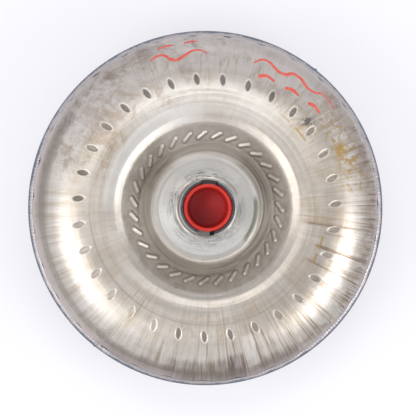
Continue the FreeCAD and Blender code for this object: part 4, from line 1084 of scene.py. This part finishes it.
fl = bpy.data.meshes.new("floor")
fl.from_pydata([(-30, -30, -0.0003), (30, -30, -0.0003), (30, 30, -0.0003), (-30, 30, -0.0003)], [], [(0, 1, 2, 3)])
floor = bpy.data.objects.new("floor", fl)
sc.collection.objects.link(floor)
fm = bpy.data.materials.new("floor_paper")
fm.use_nodes = True
fb = fm.node_tree.nodes["Principled BSDF"]
fb.inputs["Base Color"].default_value = (0.46, 0.46, 0.48, 1)
fb.inputs["Roughness"].default_value = 0.9
fb.inputs["Specular IOR Level"].default_value = 0.1
fb.inputs["Emission Color"].default_value = (0.96, 0.95, 1.0, 1)
fb.inputs["Emission Strength"].default_value = 0.54
floor.data.materials.append(fm)
floor.visible_glossy = False

world = bpy.data.worlds.new("studio")
sc.world = world
world.use_nodes = True
wt = world.node_tree
bg = wt.nodes["Background"]
wc = wt.nodes.new("ShaderNodeTexCoord")
ws = wt.nodes.new("ShaderNodeSeparateXYZ")
wr = wt.nodes.new("ShaderNodeValToRGB")
wt.links.new(wc.outputs["Generated"], ws.inputs[0])
wm = wt.nodes.new("ShaderNodeMapRange")
wm.inputs["From Min"].default_value, wm.inputs["From Max"].default_value = -1.0, 1.0
wt.links.new(ws.outputs[2], wm.inputs["Value"])
wt.links.new(wm.outputs[0], wr.inputs[0])
SKY = [(0.0, 0.78), (0.20, 0.74), (0.40, 0.66), (0.50, 0.78), (0.60, 0.86), (0.72, 0.70), (0.85, 0.60), (1.0, 0.64)]
while len(wr.color_ramp.elements) < len(SKY):
    wr.color_ramp.elements.new(0.5)
for el, (p, v) in zip(wr.color_ramp.elements, SKY):
    el.position, el.color = p, (v * 0.985, v * 0.985, v * 1.02, 1)
wt.links.new(wr.outputs[0], bg.inputs[0])
bg.inputs[1].default_value = 1.0


def softbox(name, azimuth, elevation, distance, size, power, colour=(1, 1, 1)):
    ld = bpy.data.lights.new(name, "AREA")
    ld.shape, ld.size, ld.size_y, ld.energy, ld.color = "RECTANGLE", size[0], size[1], power, colour
    ob = bpy.data.objects.new(name, ld)
    sc.collection.objects.link(ob)
    a, e = RAD(azimuth), RAD(elevation)
    d = Vector((math.cos(a) * math.cos(e), math.sin(a) * math.cos(e), math.sin(e)))
    ob.location = d * distance + Vector((0, 0, 0.06))
    ob.rotation_mode = "QUATERNION"
    ob.rotation_quaternion = d.to_track_quat("Z", "Y")
    return ob


softbox("softbox_left", 203, 40, 1.6, (1.1, 1.1), 8.6, (1.0, 0.985, 0.96))
softbox("softbox_right", 334, 31, 1.6, (1.0, 0.9), 8.6, (1.0, 0.985, 0.96))
softbox("softbox_top", 100, 66, 2.2, (1.3, 0.7), 7.0, (1.0, 0.99, 0.97))

cam = bpy.data.cameras.new("camera")
cam.sensor_width = 36.0
eye = Vector((-0.0387, -0.007, 1.600))
aim = Vector((0.00175, 0.0, 0.060))
dist = (eye - aim).length
cam.lens = 36.0 / (2 * (208 * 0.7606 * MM) / dist)
co = bpy.data.objects.new("camera", cam)
sc.collection.objects.link(co)
zc = (eye - aim).normalized()
xc = Vector((0, 1, 0)).cross(zc).normalized()
yc = zc.cross(xc)
co.matrix_world = Matrix(((xc.x, yc.x, zc.x, eye.x), (xc.y, yc.y, zc.y, eye.y), (xc.z, yc.z, zc.z, eye.z), (0, 0, 0, 1)))
cam.clip_start, cam.clip_end = 0.05, 100.0
sc.camera = co
